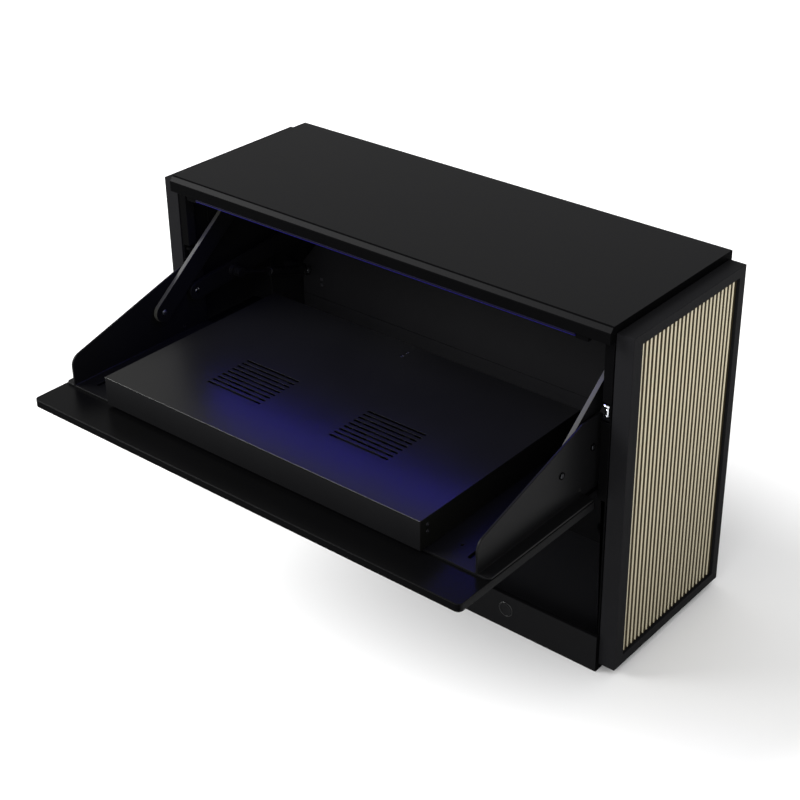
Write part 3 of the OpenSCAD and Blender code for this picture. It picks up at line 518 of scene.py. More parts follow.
def lathe(work, profile, base, axis, steps=40):
    """Turns a profile of (radius, height) points round an axis, with closed poles."""
    axis = Vector(axis).normalized()
    side = axis.orthogonal().normalized()
    other = axis.cross(side)
    rings = [ring_of(work, Vector(base) + axis * z, side, other, r, steps) for r, z in profile]
    for low, high in zip(rings, rings[1:]):
        for i in range(steps):
            j = (i + 1) % steps
            if len(low) == 1:
                work.faces.new((low[0], high[j], high[i]))
            elif len(high) == 1:
                work.faces.new((low[i], low[j], high[0]))
            else:
                work.faces.new((low[i], low[j], high[j], high[i]))
    return work


def rounded_profile(points, radius, steps=3):
    """Rounds the inner corners of a lathe profile."""
    share = 0.45
    out = [points[0]]
    for a, b, c in zip(points, points[1:], points[2:]):
        a, b, c = Vector(a), Vector(b), Vector(c)
        r = min(radius, (a - b).length * share, (c - b).length * share)
        start, end = b + (a - b).normalized() * r, b + (c - b).normalized() * r
        for i in range(steps + 1):
            t = i / steps
            out.append(tuple((1 - t) ** 2 * start + 2 * t * (1 - t) * b + t * t * end))
    out.append(points[-1])
    return out


def turned(rounding, *points):
    """A lathe profile with rounded corners, all in millimetres."""
    return rounded_profile([(r * MM, z * MM) for r, z in points], rounding * MM)


def turned_piece(node, work, finish, crease, body, slot):
    """Puts a lathed work mesh in the scene as the piece that stands for a node."""
    bmesh.ops.recalc_face_normals(work, faces=work.faces)
    mesh = mesh_from(node + "_piece", work, finishes()[finish], crease=crease)
    return object_from(node + "_piece", mesh, body, slot, node)


def mirrored(work):
    """Adds the left-hand twin of what a mesh holds on the right."""
    twin = bmesh.ops.duplicate(work, geom=work.verts[:] + work.edges[:] + work.faces[:])
    verts = [g for g in twin["geom"] if isinstance(g, bmesh.types.BMVert)]
    faces = [g for g in twin["geom"] if isinstance(g, bmesh.types.BMFace)]
    for v in verts:
        v.co.x = -v.co.x
    bmesh.ops.reverse_faces(work, faces=faces)


# Geometry nodes


def node_tree(name, **sockets):
    """A Geometry Nodes tree with named inputs, and the sockets of its input and output."""
    tree = bpy.data.node_groups.new(name, "GeometryNodeTree")
    for label, kind in sockets.items():
        tree.interface.new_socket(label, in_out="INPUT", socket_type="NodeSocket" + kind)
    tree.interface.new_socket("Geometry", in_out="OUTPUT", socket_type="NodeSocketGeometry")
    source = add(tree, "NodeGroupInput")
    out = add(tree, "NodeGroupOutput")
    return tree, source.outputs, out.inputs


def grown(name, kind, finish, base=None, **values):
    """Runs a tree with its inputs set, takes the copied piece away and gives back the mesh."""
    if not TREES:
        TREES.update(reeds=reed_tree(), row=row_tree(), spots=spot_tree(), ring=ring_tree())
    tree = TREES[kind]
    values["Finish"] = finishes()[finish]
    holder = placed(name + "_holder", base or bpy.data.meshes.new(name))
    modifier = holder.modifiers.new("grow", "NODES")
    modifier.node_group = tree
    keys = {s.name: s.identifier for s in tree.interface.items_tree if s.in_out == "INPUT"}
    for label, value in values.items():
        modifier[keys[label]] = value
    mesh = applied(holder)
    if "Piece" in values:
        bpy.data.objects.remove(values["Piece"])
    mesh.name = name
    mesh.materials.clear()
    mesh.polygons.foreach_set("material_index", [0] * len(mesh.polygons))
    mesh.materials.append(values["Finish"])
    return mesh


def finish_tree(tree, geometry, given, out):
    """Ends a tree: its instances become one mesh in the given finish."""
    real = add(tree, "GeometryNodeRealizeInstances", {"Geometry": geometry}).outputs[0]
    coating = {"Geometry": real, "Material": given["Finish"]}
    painted = add(tree, "GeometryNodeSetMaterial", coating)
    tree.links.new(painted.outputs[0], out[0])


def copy_piece(tree, points, given, out, **turn):
    """Ends a tree: the given piece is copied to the points and finished."""
    piece = add(tree, "GeometryNodeObjectInfo", {"Object": given["Piece"]}).outputs["Geometry"]
    placing = {"Points": points, "Instance": piece, **turn}
    copies = add(tree, "GeometryNodeInstanceOnPoints", placing)
    finish_tree(tree, copies.outputs[0], given, out)
    return tree


def reed_tree():
    """A row of half-round reeds that stand side by side along Y."""
    kinds = dict.fromkeys(("Pitch", "Width", "Height", "Length", "Turn"), "Float")
    tree, given, out = node_tree("Reed row", Count="Int", **kinds, Foot="Vector", Finish="Material")
    sweep = {"Resolution": 15, "Radius": 1.0, "Start Angle": 0.0, "Sweep Angle": math.pi}
    arc = add(tree, "GeometryNodeCurveArc", sweep).outputs[0]
    closed = add(tree, "GeometryNodeSetSplineCyclic", {"Geometry": arc, "Cyclic": True}).outputs[0]
    halving = {0: given["Width"], 1: 0.5}
    half = add(tree, "ShaderNodeMath", halving, operation="MULTIPLY").outputs[0]
    size = add(tree, "ShaderNodeCombineXYZ", {"X": half, "Y": given["Height"], "Z": 1.0}).outputs[0]
    section = add(tree, "GeometryNodeTransform", {"Geometry": closed, "Scale": size}).outputs[0]
    top = add(tree, "ShaderNodeCombineXYZ", {"Z": given["Length"]}).outputs[0]
    path = add(tree, "GeometryNodeCurvePrimitiveLine", {"End": top}).outputs[0]
    solid = {"Curve": path, "Profile Curve": section, "Fill Caps": True}
    body = add(tree, "GeometryNodeCurveToMesh", solid).outputs[0]
    turn = add(tree, "ShaderNodeCombineXYZ", {"Z": given["Turn"]}).outputs[0]
    reed = add(tree, "GeometryNodeTransform", {"Geometry": body, "Rotation": turn}).outputs[0]
    step = add(tree, "ShaderNodeCombineXYZ", {"Y": given["Pitch"]}).outputs[0]
    line = {"Count": given["Count"], "Start Location": given["Foot"], "Offset": step}
    row = add(tree, "GeometryNodeMeshLine", line).outputs[0]
    reeds = add(tree, "GeometryNodeInstanceOnPoints", {"Points": row, "Instance": reed})
    finish_tree(tree, reeds.outputs[0], given, out)
    return tree


def row_tree():
    """Copies of a small piece in a straight row."""
    tree, given, out = node_tree(
        "Row of pieces", Piece="Object", Count="Int", Start="Vector", Step="Vector", Finish="Material"
    )
    line = {"Count": given["Count"], "Start Location": given["Start"], "Offset": given["Step"]}
    row = add(tree, "GeometryNodeMeshLine", line).outputs[0]
    return copy_piece(tree, row, given, out)


def spot_tree():
    """Copies of a small piece on the points of a mesh, all turned the same way."""
    tree, given, out = node_tree(
        "Pieces on spots", Geometry="Geometry", Piece="Object", Turn="Vector", Finish="Material"
    )
    return copy_piece(tree, given["Geometry"], given, out, Rotation=given["Turn"])


def ring_tree():
    """Copies of a small piece turned round a centre, such as a rotor's blades."""
    tree, given, out = node_tree(
        "Ring of pieces", Piece="Object", Count="Int", Centre="Vector", Finish="Material"
    )
    line = {"Count": given["Count"], "Start Location": given["Centre"], "Offset": (0, 0, 0)}
    spots = add(tree, "GeometryNodeMeshLine", line).outputs[0]
    index = add(tree, "GeometryNodeInputIndex").outputs[0]
    terms = {0: index, 1: given["Count"]}
    share = add(tree, "ShaderNodeMath", terms, operation="DIVIDE").outputs[0]
    terms = {0: share, 1: 2 * math.pi}
    angle = add(tree, "ShaderNodeMath", terms, operation="MULTIPLY").outputs[0]
    turn = add(tree, "ShaderNodeCombineXYZ", {"Z": angle}).outputs[0]
    return copy_piece(tree, spots, given, out, Rotation=turn)


# Screws and fan blades


def screw_head(radius, height):
    """A low domed head with a hexagon socket, looking along +Z, on the origin. Its sizes are
    shares of the head's radius and height."""
    work = bmesh.new()
    socket = radius * 0.5
    floor = height * 0.35
    sixth = math.pi / 3
    hair = 1e-7
    dome = [(radius, 0), (radius, height * 0.45), (radius * 0.72, height), (socket * 1.12, height)]
    outer = [(radius * 0.98, -0.02 * MM)] + rounded_profile(dome, radius * 0.2)
    lathe(work, outer, (0, 0, 0), UP, steps=24)
    top = max(v.co.z for v in work.verts)
    rim = [v for v in work.verts if v.co.z > top - hair and v.co.xy.length < socket * 1.2]
    rim.sort(key=lambda v: math.atan2(v.co.y, v.co.x))
    edge, bottom = [], []
    for v in rim:
        a = math.atan2(v.co.y, v.co.x)
        reach = socket * math.cos(sixth / 2) / math.cos(a % sixth - sixth / 2)
        edge.append(work.verts.new((reach * math.cos(a), reach * math.sin(a), top)))
        bottom.append(work.verts.new((reach * math.cos(a), reach * math.sin(a), floor)))
    for i in range(len(rim)):
        j = (i + 1) % len(rim)
        work.faces.new((rim[i], rim[j], edge[j], edge[i]))
        work.faces.new((edge[i], edge[j], bottom[j], bottom[i]))
    work.faces.new(bottom)
    low = min(v.co.z for v in work.verts)
    base = [v for v in work.verts if v.co.z < low + hair]
    base.sort(key=lambda v: -math.atan2(v.co.y, v.co.x))
    work.faces.new(base)
    bmesh.ops.recalc_face_normals(work, faces=work.faces)
    return work


def screws(name, spots, turn, radius, height, body, slot, finish, *stands_for):
    """Screw heads on the given spots, all facing the way that turn gives."""
    head = placed(name + "_head", mesh_from(name + "_head", screw_head(radius, height)))
    points = bpy.data.meshes.new(name + "_spots")
    points.from_pydata(spots, [], [])
    mesh = grown(name, "spots", finish, points, Piece=head, Turn=turn)
    return object_from(name, mesh, body, slot, *stands_for)


def fan_blade(tall):
    """A rotor blade, a curved plate that grows wider and flatter toward its tip."""
    work = bmesh.new()
    rows, columns = 9, 7
    root, tip, thick, depth = 18.6 * MM, 42.2 * MM, 0.8 * MM, 5 * MM
    root_chord, wider, sunk = 17 * MM, 9 * MM, 1 * MM
    root_pitch, flatter, lean = 52, 20, 0.25
    highest, lowest = tall / 2 - 1.3 * MM, -tall / 2 + 0.4 * MM
    over, under = [], []
    for i in range(rows):
        s = i / (rows - 1)
        r = root + s * (tip - root)
        chord = root_chord + wider * s
        pitch = math.radians(root_pitch - flatter * s)
        over.append([])
        under.append([])
        for j in range(columns):
            u = j / (columns - 1) - 0.5
            camber = (0.25 - u * u) * depth
            a = (u * chord * math.cos(pitch) - camber * math.sin(pitch)) / r + s * lean
            up = u * chord * math.sin(pitch) + camber * math.cos(pitch) - sunk
            up = max(lowest, min(highest, up))
            over[i].append(work.verts.new((r * math.cos(a), r * math.sin(a), up + thick)))
            under[i].append(work.verts.new((r * math.cos(a), r * math.sin(a), up)))
    last, end = rows - 1, columns - 1
    for i in range(last):
        for j in range(end):
            for side in (over, under):
                quad = (side[i][j], side[i + 1][j], side[i + 1][j + 1], side[i][j + 1])
                work.faces.new(quad)
    rim = [(i, 0) for i in range(rows)] + [(last, j) for j in range(1, columns)]
    rim += [(i, end) for i in range(last - 1, -1, -1)] + [(0, j) for j in range(end - 1, 0, -1)]
    for (a, b), (c, d) in zip(rim, rim[1:] + rim[:1]):
        work.faces.new((over[a][b], under[a][b], under[c][d], over[c][d]))
    bmesh.ops.recalc_face_normals(work, faces=work.faces)
    return placed("blade_stock", mesh_from("blade_stock", work))


# The pieces


class CABINET_OT_shell(bpy.types.Operator):
    """Round the folds of the top, base, walls and end frames and coat them"""

    bl_idname = "cabinet.shell"
    bl_label = "Shell"

    def execute(self, context):
        low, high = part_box("top_cover")
        lip = low.y + 0.3 * MM
        roof = high.z - 0.3 * MM
        slope = roof - 12 * MM
        end_x = high.x - 1 * MM
        fold_y = low.y + 8 * MM
        barely = 0.02

        def roof_folds(a, b):
            along = abs(a.x - b.x) > LONG
            return along and (a.z > roof or (a.y < lip and a.z > slope))

        # Painted shade: the cover's end faces, a thin line along the fold behind the lip, and the lip's
        # front face take the dark painted-shade coat.
        def painted_shade_faces(c, n):
            on_end = abs(n.x) > FACING and abs(c.x) > end_x
            near_fold = c.z > roof - 1.5 * MM and abs(c.y - fold_y) < 1.9 * MM
            on_lip = n.y < -FACING and c.y < low.y + 1 * MM
            return on_end or (near_fold and abs(n.y) > barely) or on_lip

        radius = settings().fold_radius
        top = dressed("top_cover", *SHELL, "shell", (roof_folds, radius))
        second_finish(top, "edge", painted_shade_faces)
        low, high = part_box("base_shell")
        rail = low.y + 0.3 * MM
        floor = low.z + 5 * MM
        behind = low.y + 5 * MM

        def rail_folds(a, b):
            return abs(a.x - b.x) > LONG and a.y < rail

        base = dressed("base_shell", *SHELL, "shell", (rail_folds, radius))
        second_finish(base, "grey", lambda c, n: n.z > FACING and c.z < floor and c.y > behind)
        # Painted shade: the rail's end faces take the dark painted-shade coat.
        second_finish(base, "edge", lambda c, n: abs(n.x) > FACING and abs(c.x) > end_x)
        # Below the open flap the photo shows the bay's back right up to the end frame. So each
        # wall's front post is cut away there, and only the wall's outer sheet stays.
        spare, sheet, post_depth, post_top = 1 * MM, 2.1 * MM, 20 * MM, 330 * MM
        for side, sign in SIDES:
            low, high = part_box(f"side_wall_{side}")
            start = low.x - spare if sign > 0 else low.x + sheet
            end = high.x - sheet if sign > 0 else high.x + spare
            front = low.y - spare
            post = ((start, front, low.z - spare), (end, low.y + post_depth, post_top))
            wall = dressed(f"side_wall_{side}", *SHELL, "shell", cut=post)
            # Painted shade: the wall's front faces take the dark painted-shade coat.
            second_finish(wall, "edge", lambda c, n: n.y < -ROUGHLY)
            dressed(f"end_frame_{side}", *SHELL, "frame", edge=0.7 * MM)
        return {"FINISHED"}


class CABINET_OT_ends(bpy.types.Operator):
    """Grow the reeds of both end panels on their boards, and finish the battens"""

    bl_idname = "cabinet.ends"
    bl_label = "End panels"

    def execute(self, context):
        count = settings().reed_count
        reed_h, solid_h, board_t = 1.6 * MM, 2.25 * MM, 4 * MM
        rim, edge, shy = 5 * MM, 3.8 * MM, 1.5 * MM
        for side, sign in SIDES:
            node = f"reed_panel_{side}"
            low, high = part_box(node)
            board = (low.x if sign < 0 else high.x) - sign * solid_h
            pitch = (high.y - low.y - 2 * (rim + edge)) / count
            width = pitch - settings().reed_gap
            first = (low.y + high.y) / 2 - (count - 1) * pitch / 2
            reeds = grown(
                node + "_reeds",
                "reeds",
                "reed",
                Count=count,
                Pitch=pitch,
                Width=width,
                Height=reed_h,
                Length=high.z - low.z - 2 * (rim + shy),
                Turn=-sign * QUARTER,
                Foot=(board, first, low.z + rim + shy),
            )
            work = bmesh.new()
            work.from_mesh(reeds)
            bpy.data.meshes.remove(reeds)
            # The ends of each reed are rounded off: the farther from its middle, the shorter.
            half = (low.z + high.z) / 2
            for v in work.verts:
                aside = (v.co.y - first + pitch / 2) % pitch - pitch / 2
                dip = width / 2 - math.sqrt(max(0, (width / 2) ** 2 - aside**2))
                v.co.z += dip if v.co.z < half else -dip
            near, far = sorted((board - sign * board_t, board))
            for face in add_box(work, (near, low.y, low.z), (far, high.y, high.z)):
                face.material_index = 1
            coats = (finishes()["reed"], finishes()["board"])
            mesh = mesh_from(node + "_piece", work, *coats, crease=50)
            object_from(node + "_piece", mesh, "cabinet", "cream_reeds", node)
        repaint("wood", "panel_battens")
        return {"FINISHED"}


class CABINET_OT_back(bpy.types.Operator):
    """Dress the inner back, the rear cover, its screws and the wall rails"""

    bl_idname = "cabinet.back"
    bl_label = "Back"

    def execute(self, context):
        dressed("lower_back_panel", *SHELL, "inside")
        dressed("upper_back_panel", *SHELL, "inside")
        dressed("rear_cover", *SHELL, "shell", edge=0.1 * MM)
        repaint("grey", "wall_rails")
        low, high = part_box("rear_cover")
        inset, below, above = 9 * MM, 26 * MM, 28 * MM
        head, tall = 3.4 * MM, 1.6 * MM
        gaps, rises = 6, 4
        spots = []
        for i in range(gaps + 1):
            x = low.x + inset + i * (high.x - low.x - 2 * inset) / gaps
            spots += [(x, high.y, high.z - below), (x, high.y, low.z + above)]
        for i in range(1, rises):
            z = low.z + i * (high.z - low.z) / rises
            spots += [(low.x + inset, high.y, z), (high.x - inset, high.y, z)]
        backward = (-QUARTER, 0, 0)
        screws("rear_cover_screws", spots, backward, head, tall, "cabinet", "bolt_steel", "zinc")
        low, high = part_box("cabinet_screws")
        inset, tall = 3.5 * MM, 1.4 * MM
        across = (low.x + inset, high.x - inset)
        spots = [(x, high.y, z) for x in across for z in (low.z + inset, high.z - inset)]
        kind = ("cabinet", "bright_pins", "black_zinc", "cabinet_screws")
        screws("inner_back_screws", spots, (QUARTER, 0, 0), head, tall, *kind)
        return {"FINISHED"}


class CABINET_OT_light(bpy.types.Operator):
    """Make the light strip: channel, board with its chips, lit lens and end caps"""

    bl_idname = "cabinet.light"
    bl_label = "Light strip"

    def execute(self, context):
        dressed("light_channel", "cabinet", "channel_metal", "alloy", edge=0.25 * MM)
        dressed("light_board", "cabinet", "board_white", "circuit", edge=0.2 * MM)
        dressed("light_lens", "cabinet", "blue_lens", "lens", edge=0.6 * MM)
        dressed("light_end_caps", "cabinet", "black_plastic", "edge", edge=0.9 * MM)
        # A chip is a square block whose lower part tapers.
        work = bmesh.new()
        half, drop, taper, waist = 1.6 * MM, 0.7 * MM, 0.7, 0.6
        square = [(half, half), (-half, half), (-half, -half), (half, -half)]
        levels = ((1, 0), (1, -drop * waist), (taper, -drop))
        rings = [[work.verts.new((x * s, y * s, z)) for x, y in square] for s, z in levels]
        work.faces.new(rings[0])
        work.faces.new(rings[-1][::-1])
        for upper, lower in zip(rings, rings[1:]):
            for i in range(4):
                j = (i + 1) % 4
                work.faces.new((upper[j], upper[i], lower[i], lower[j]))
        bmesh.ops.recalc_face_normals(work, faces=work.faces)
        chip = placed("chip_stock", mesh_from("chip_stock", work))
        low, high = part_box("light_board")
        pitch = settings().light_pitch
        count = int((high.x - low.x) / pitch)
        start = (low.x + high.x) / 2 - (count - 1) * pitch / 2
        mesh = grown(
            "light_chips",
            "row",
            "chip",
            Piece=chip,
            Count=count,
            Start=(start, (low.y + high.y) / 2, low.z),
            Step=(pitch, 0, 0),
        )
        mesh.shade_flat()
        object_from("light_chips", mesh, "cabinet", "blue_lens")
        return {"FINISHED"}


class CABINET_OT_fixings(bpy.types.Operator):
    """Turn the catch pins and finish the brackets, ground pins, grommet and electrics"""

    bl_idname = "cabinet.fixings"
    bl_label = "Cabinet fixings"

    def execute(self, context):
        dressed("front_pivot_brackets", *SHELL, "links")
        dressed("rear_pivot_brackets", *SHELL, "links")
        repaint("chrome", "ground_pins")
        low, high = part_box("catch_pins")
        head, end = 8.25, 23
        shank = ((0, 0), (4.5, 0), (4.5, 12.5), (3.4, 13.5), (3.4, 17.4))
        knob = ((head, 18.8), (head, 21.4), (6.4, 22.9), (0, end))
        nut = turned(0.6, (0, -0.1), (6.6, -0.1), (6.6, 3.2), (0, 3.3))
        foot = Vector((high.x - head * MM, (low.y + high.y) / 2, high.z - end * MM))
        work = lathe(bmesh.new(), turned(0.7, *shank, *knob), foot, UP)
        lathe(work, nut, foot + Vector(UP) * 0.15 * MM, UP, steps=6)
        mirrored(work)
        pins = turned_piece("catch_pins", work, "chrome", 42, "cabinet", "bright_pins")
        # Painted shade: the left catch pin, which stands in the shade of its post, takes the dark
        # painted-shade coat in place of chrome.
        second_finish(pins, "edge", lambda c, n: c.x < 0)
        dressed("cable_grommet", "cabinet", "black_rubber", "edge", edge=0.6 * MM)
        dressed("control_box", "cabinet", "black_plastic", "plastic", edge=1.6 * MM)
        dressed("power_inlet", "cabinet", "black_plastic", "plastic", edge=0.5 * MM)
        return {"FINISHED"}


class CABINET_OT_button(bpy.types.Operator):
    """Turn the ring, the dished push button and the switch behind it"""

    bl_idname = "cabinet.button"
    bl_label = "Power button"

    def execute(self, context):
        low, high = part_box("button_bezel")
        x, z = (low.x + high.x) / 2, (low.z + high.z) / 2
        end = (high.y - low.y) / MM
        bore, outside = 12.62, 14
        inner = ((bore, end), (bore, 0.35), (13.1, 0.1), (13.8, 0.1), (14.6, 0.8), (14.6, 1.2))
        ring = turned(0.25, *inner, (outside, 1.2), (outside, end), (bore, end))
        work = lathe(bmesh.new(), ring, (x, low.y, z), BACK, steps=64)
        bmesh.ops.remove_doubles(work, verts=work.verts, dist=0.001 * MM)
        turned_piece("button_bezel", work, "gloss", 50, "cabinet", "bezel_metal")
        low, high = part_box("power_button")
        end = (high.y - low.y) / MM
        face = ((0, 0.9), (8.5, 0.75), (11.4, 0), (12.5, 0.5))
        button = turned(0.8, *face, (12.5, end), (0, end))
        work = lathe(bmesh.new(), button, (x, low.y, z), BACK, steps=64)
        turned_piece("power_button", work, "plastic", 50, "power_button", "black_plastic")
        dressed("button_switch", "cabinet", "black_plastic", "plastic", edge=0.8 * MM)
        return {"FINISHED"}


class CABINET_OT_flap(bpy.types.Operator):
    """Dress the flap: pan, liner, ribs, and the folded brackets with their bolts"""

    bl_idname = "cabinet.flap"
    bl_label = "Flap"

    def execute(self, context):
        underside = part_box("flap_pan")[0].z + TOUCH

        def pan_folds(a, b):
            return abs(a.z - b.z) < 0.01 * MM and a.z < underside

        pan = dressed("flap_pan", "flap", "black_steel", "flap", (pan_folds, 1.3 * MM))
        # Painted shade: the pan's lower fold and its front faces take the dark painted-shade coat.
        level, tilted, ahead = 0.98, 0.2, 0.6
        second_finish(pan, "edge", lambda c, n: -level < n.z < -tilted or n.y < -ahead)
        second_finish(pan, "shell", lambda c, n: abs(n.x) > FACING or n.z < -level)
        dressed("flap_liner", "flap", "black_steel", "flap", edge=0.6 * MM)
        repaint("grey", "flap_ribs")
        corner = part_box("flap_bracket_right")[0]
        foot, flange_x = corner.z + 5 * MM, 438 * MM

        def outer_fold(a, b):
            along = abs(a.y - b.y) > 50 * MM
            return along and max(a.z, b.z) < foot and abs(abs(a.x) - flange_x) < 0.2 * MM

        for side, _ in SIDES:
            node = f"flap_bracket_{side}"
            rounding = (outer_fold, 2.6 * MM)
            dressed(node, "flap", "black_steel", "bracket", rounding, edge=0.8 * MM)
        low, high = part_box("flap_bolts")
        inset, gaps = 5 * MM, 3
        step = (high.y - low.y - 2 * inset) / gaps
        rows = [low.y + inset + i * step for i in range(gaps + 1)]
        spots = [(x, y, low.z) for x in (low.x + inset, high.x - inset) for y in rows]
        kind = ("flap", "bolt_steel", "zinc", "flap_bolts")
        screws("flap_bolts_piece", spots, (0, 0, 0), 4.8 * MM, 1.35 * MM, *kind)
        pins = dressed("flap_pins", "flap", "bright_pins", "zinc", edge=0.4 * MM)
        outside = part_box("flap_pins")[1].x - 2 * MM
        second_finish(pins, "black_zinc", lambda c, n: abs(c.x) > outside)
        plug = [(0, 0), (2.98 * MM, 0), (2.98 * MM, 2 * MM), (0, 1.6 * MM)]
        sunk, along, up = 2.4 * MM, 258 * MM, 15.5 * MM
        work = bmesh.new()
        for _, sign in SIDES:
            start = (sign * (outside - sunk), corner.y + along, corner.z + up)
            lathe(work, plug, start, (sign, 0, 0), steps=24)
        bmesh.ops.recalc_face_normals(work, faces=work.faces)
        plugs = mesh_from("bracket_plugs", work, finishes()["rubber"])
        object_from("bracket_plugs", plugs, "flap", "black_rubber")
        bushes = dressed("pivot_bushes", "flap", "bush_plastic", "nylon", edge=0.5 * MM)
        # Painted shade: the outer ends of the bushes take the dark painted-shade coat.
        second_finish(bushes, "edge", lambda c, n: abs(c.x) > outside)
        return {"FINISHED"}


class CABINET_OT_tray(bpy.types.Operator):
    """Fold the tray with its air grilles, and set its screws and pads"""

    bl_idname = "cabinet.tray"
    bl_label = "Tray"

    def execute(self, context):
        low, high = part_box("tray_cover")
        rim = 6 * MM

        def front_corner(a, b):
            upright = abs(a.z - b.z) > 30 * MM
            return upright and a.y < low.y + TOUCH and abs(a.x) > high.x - TOUCH

        def top_folds(a, b):
            flat = min(a.z, b.z) > high.z - TOUCH
            outer = max(abs(a.x), abs(b.x)) > high.x - rim
            front = max(a.y, b.y) < low.y + rim
            return flat and (outer or front or min(a.y, b.y) > high.y - 1 * MM)

        folds = ((front_corner, settings().corner_radius), (top_folds, 1.1 * MM, 3))
        piece = dressed("tray_cover", "flap", "black_steel", "tray", *folds, edge=0.3 * MM)
        second_finish(piece, "shell", lambda c, n: n.y < -ROUGHLY)
        # Painted highlight: the front fold of the tray's top takes the light grey highlight coat.
        slant = 0.3
        second_finish(piece, "fold_highlight", lambda c, n: n.y < -slant and n.z > slant)
        repaint("flap", "tray_base")
        dressed("tray_pads", "flap", "black_rubber", "rubber", edge=0.4 * MM)
        head, tall, recess = 3.45 * MM, 1.4 * MM, 1.45 * MM
        kind = ("flap", "bright_pins", "black_zinc")
        spots = [(0, high.y - d, high.z - recess) for d in (25.2 * MM, 40 * MM)]
        screws("tray_top_screws", spots, (0, 0, 0), head, tall, *kind, "tray_screws")
        for side, sign in SIDES:
            spots = [(sign * high.x, low.y + 17 * MM, high.z - d) for d in (13 * MM, 25 * MM)]
            outward = (0, sign * QUARTER, 0)
            screws(f"tray_side_screws_{side}", spots, outward, head, tall, *kind)
        return {"FINISHED"}


class CABINET_OT_fans(bpy.types.Operator):
    """Dress the fan frames and grow the rotors' curved blades"""

    bl_idname = "cabinet.fans"
    bl_label = "Fans"

    def execute(self, context):
        for side, _ in SIDES:
            dressed(f"fan_frame_{side}", "flap", "black_plastic", "fan", edge=0.7 * MM)
            node = f"fan_rotor_{side}"
            low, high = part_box(node)
            x, y = JOINTS[f"fan_{side}_spin"]["pos_m"][:2]
            tall = high.z - low.z
            middle = (x, y, low.z + tall / 2)
            blade = fan_blade(tall)
            blades = grown(node + "_blades", "ring", "fan", Piece=blade, Count=7, Centre=middle)
            work = bmesh.new()
            work.from_mesh(blades)
            bpy.data.meshes.remove(blades)
            bore, hub, top = 2.1, 19, tall / MM
            under = ((0, top * 0.55), (bore, top * 0.55), (bore, 0), (hub, 0), (hub, top))
            dish = ((9, top), (8, top - 0.5), (0, top - 0.5))
            lathe(work, turned(1.2, *under, *dish), (x, y, low.z), UP)
            mesh = mesh_from(node + "_piece", work, finishes()["fan"], crease=40)
            object_from(node + "_piece", mesh, node, "black_plastic", node)
        return {"FINISHED"}


class CABINET_OT_links(bpy.types.Operator):
    """Dress the links, their studs and the gas struts"""

    bl_idname = "cabinet.links"
    bl_label = "Links and struts"

    def execute(self, context):
        parts = (
            ("front_link", "black_steel", "links", 0.7 * MM),
            ("rear_link", "black_steel", "links", 0.7 * MM),
            ("strut_tube", "black_steel", "gloss", 0.8 * MM),
            ("strut_rod", "bright_pins", "links", 0.5 * MM),
        )
        rim = 0.3
        for side, _ in SIDES:
            made = {}
            for part, slot, finish, edge in parts:
                node = f"{part}_{side}"
                made[part] = dressed(node, node, slot, finish, edge=edge)
            # Painted highlight: the narrow edges of each front link take the grey highlight coat.
            second_finish(made["front_link"], "link_highlight", lambda c, n: abs(n.x) < rim)
            repaint("chrome", f"rear_link_stud_{side}")
        return {"FINISHED"}


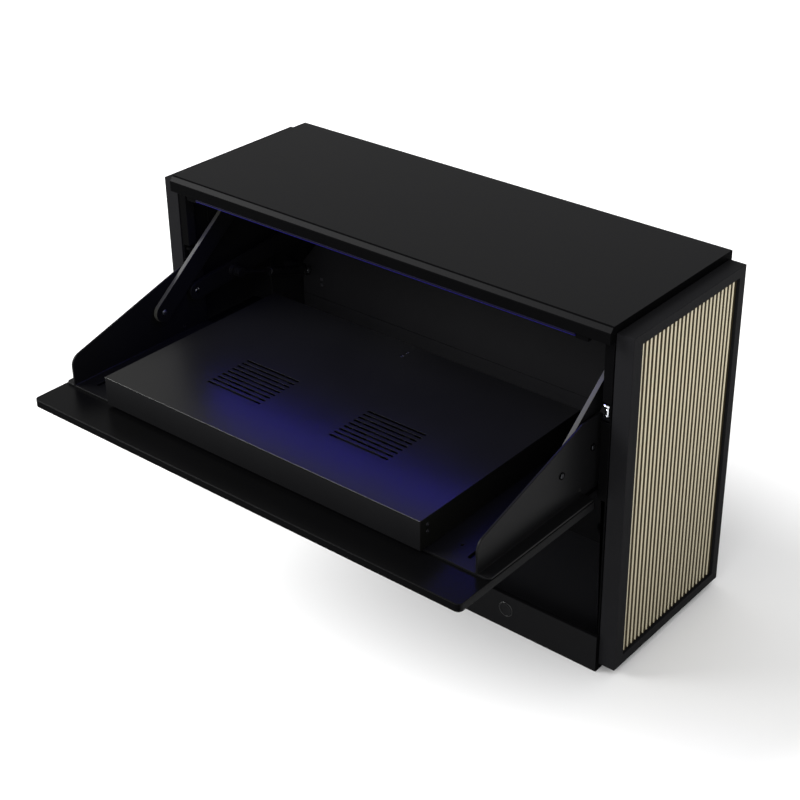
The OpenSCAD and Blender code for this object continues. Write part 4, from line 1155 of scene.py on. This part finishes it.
class CABINET_OT_stage(bpy.types.Operator):
    """Lay the white floor, and set the soft lights and the camera"""

    bl_idname = "cabinet.stage"
    bl_label = "Stage"

    def execute(self, context):
        scene = context.scene
        reach = 14
        corners = [(-reach, -reach, 0), (reach, -reach, 0), (reach, reach, 0), (-reach, reach, 0)]
        mesh = bpy.data.meshes.new("floor")
        mesh.from_pydata(corners, [], [(0, 1, 2, 3)])
        material, _, shader, _ = fresh_material("White studio floor", 0.1, Roughness=0.9)
        shader.inputs["Base Color"].default_value = (0.93, 0.93, 0.93, 1)
        mesh.materials.append(material)
        floor = placed("floor", mesh)

        world = bpy.data.worlds.new("studio")
        world.use_nodes = True
        tree = world.node_tree
        tree.nodes.clear()
        back = add(tree, "ShaderNodeBackground", {"Color": (1, 1, 1, 1), "Strength": 0.8})
        add(tree, "ShaderNodeOutputWorld", {"Surface": back.outputs[0]})
        scene.world = world

        def lamp(name, kind, way, place=(0, 0, 0), **values):
            light = bpy.data.lights.new(name, kind)
            for key, value in values.items():
                setattr(light, key, value)
            held = placed(name, light)
            held.location = place
            held.rotation_euler = Vector(way).to_track_quat("-Z", "Y").to_euler()

        soft, wide, strip = math.radians(35), math.radians(60), math.radians(150)
        lamp("soft_key", "SUN", (0.72, 0.38, -0.44), energy=5.2, angle=soft)
        lamp("front_fill", "SUN", (-0.3, 0.9, -0.3), energy=1.3, angle=wide)
        # The strip's own glow falls down and forward, away from the cabinet's back.
        low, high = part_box("light_lens")
        x, y = (low.x + high.x) / 2, (low.y + high.y) / 2
        place = Vector((x, y - 2 * MM, low.z - 1.5 * MM))
        aim = Vector((x, y - 360 * MM, low.z - 1))
        lamp(
            "strip_glow",
            "AREA",
            aim - place,
            place,
            shape="RECTANGLE",
            size=high.x - low.x,
            size_y=5 * MM,
            energy=0.75,
            color=tuple(settings().glow_colour),
            spread=strip,
        )

        # The camera as the photo's straight edges give it
        elevation, azimuth = math.radians(28.73), math.radians(38.6)
        cam = bpy.data.cameras.new("photo_camera")
        cam.sensor_width = 36
        cam.lens = 72.71
        cam.shift_x = -0.0605
        cam.shift_y = -0.048
        cam.clip_start = 50 * MM
        view = placed("photo_camera", cam)
        view.location = (1.5857, -1.9598, 1.7329)
        view.rotation_euler = (QUARTER - elevation, 0, azimuth)
        scene.camera = view
        scene.view_settings.view_transform = "Standard"
        scene.view_settings.look = "None"
        scene.cycles.use_denoising = True
        return {"FINISHED"}


class CABINET_PT_panel(bpy.types.Panel):
    """Lists the steps that dress the cabinet"""

    bl_idname = "CABINET_PT_panel"
    bl_label = "Cabinet"
    bl_space_type = "VIEW_3D"
    bl_region_type = "UI"
    bl_category = "Cabinet"

    def draw(self, context):
        for key in CabinetSettings.__annotations__:
            self.layout.prop(context.scene.cabinet, key)
        for step in STEPS:
            self.layout.operator(step.bl_idname)


STEPS = (
    CABINET_OT_shell,
    CABINET_OT_ends,
    CABINET_OT_back,
    CABINET_OT_light,
    CABINET_OT_fixings,
    CABINET_OT_button,
    CABINET_OT_flap,
    CABINET_OT_tray,
    CABINET_OT_fans,
    CABINET_OT_links,
    CABINET_OT_stage,
)


def register():
    for kind in (CabinetSettings, *STEPS, CABINET_PT_panel):
        bpy.utils.register_class(kind)
    bpy.types.Scene.cabinet = bpy.props.PointerProperty(type=CabinetSettings)


def unregister():
    del bpy.types.Scene.cabinet
    for kind in (CABINET_PT_panel, *reversed(STEPS), CabinetSettings):
        bpy.utils.unregister_class(kind)


def main():
    register()
    for step in STEPS:
        group, name = step.bl_idname.split(".")
        getattr(getattr(bpy.ops, group), name)()


if __name__ == "__main__":
    main()
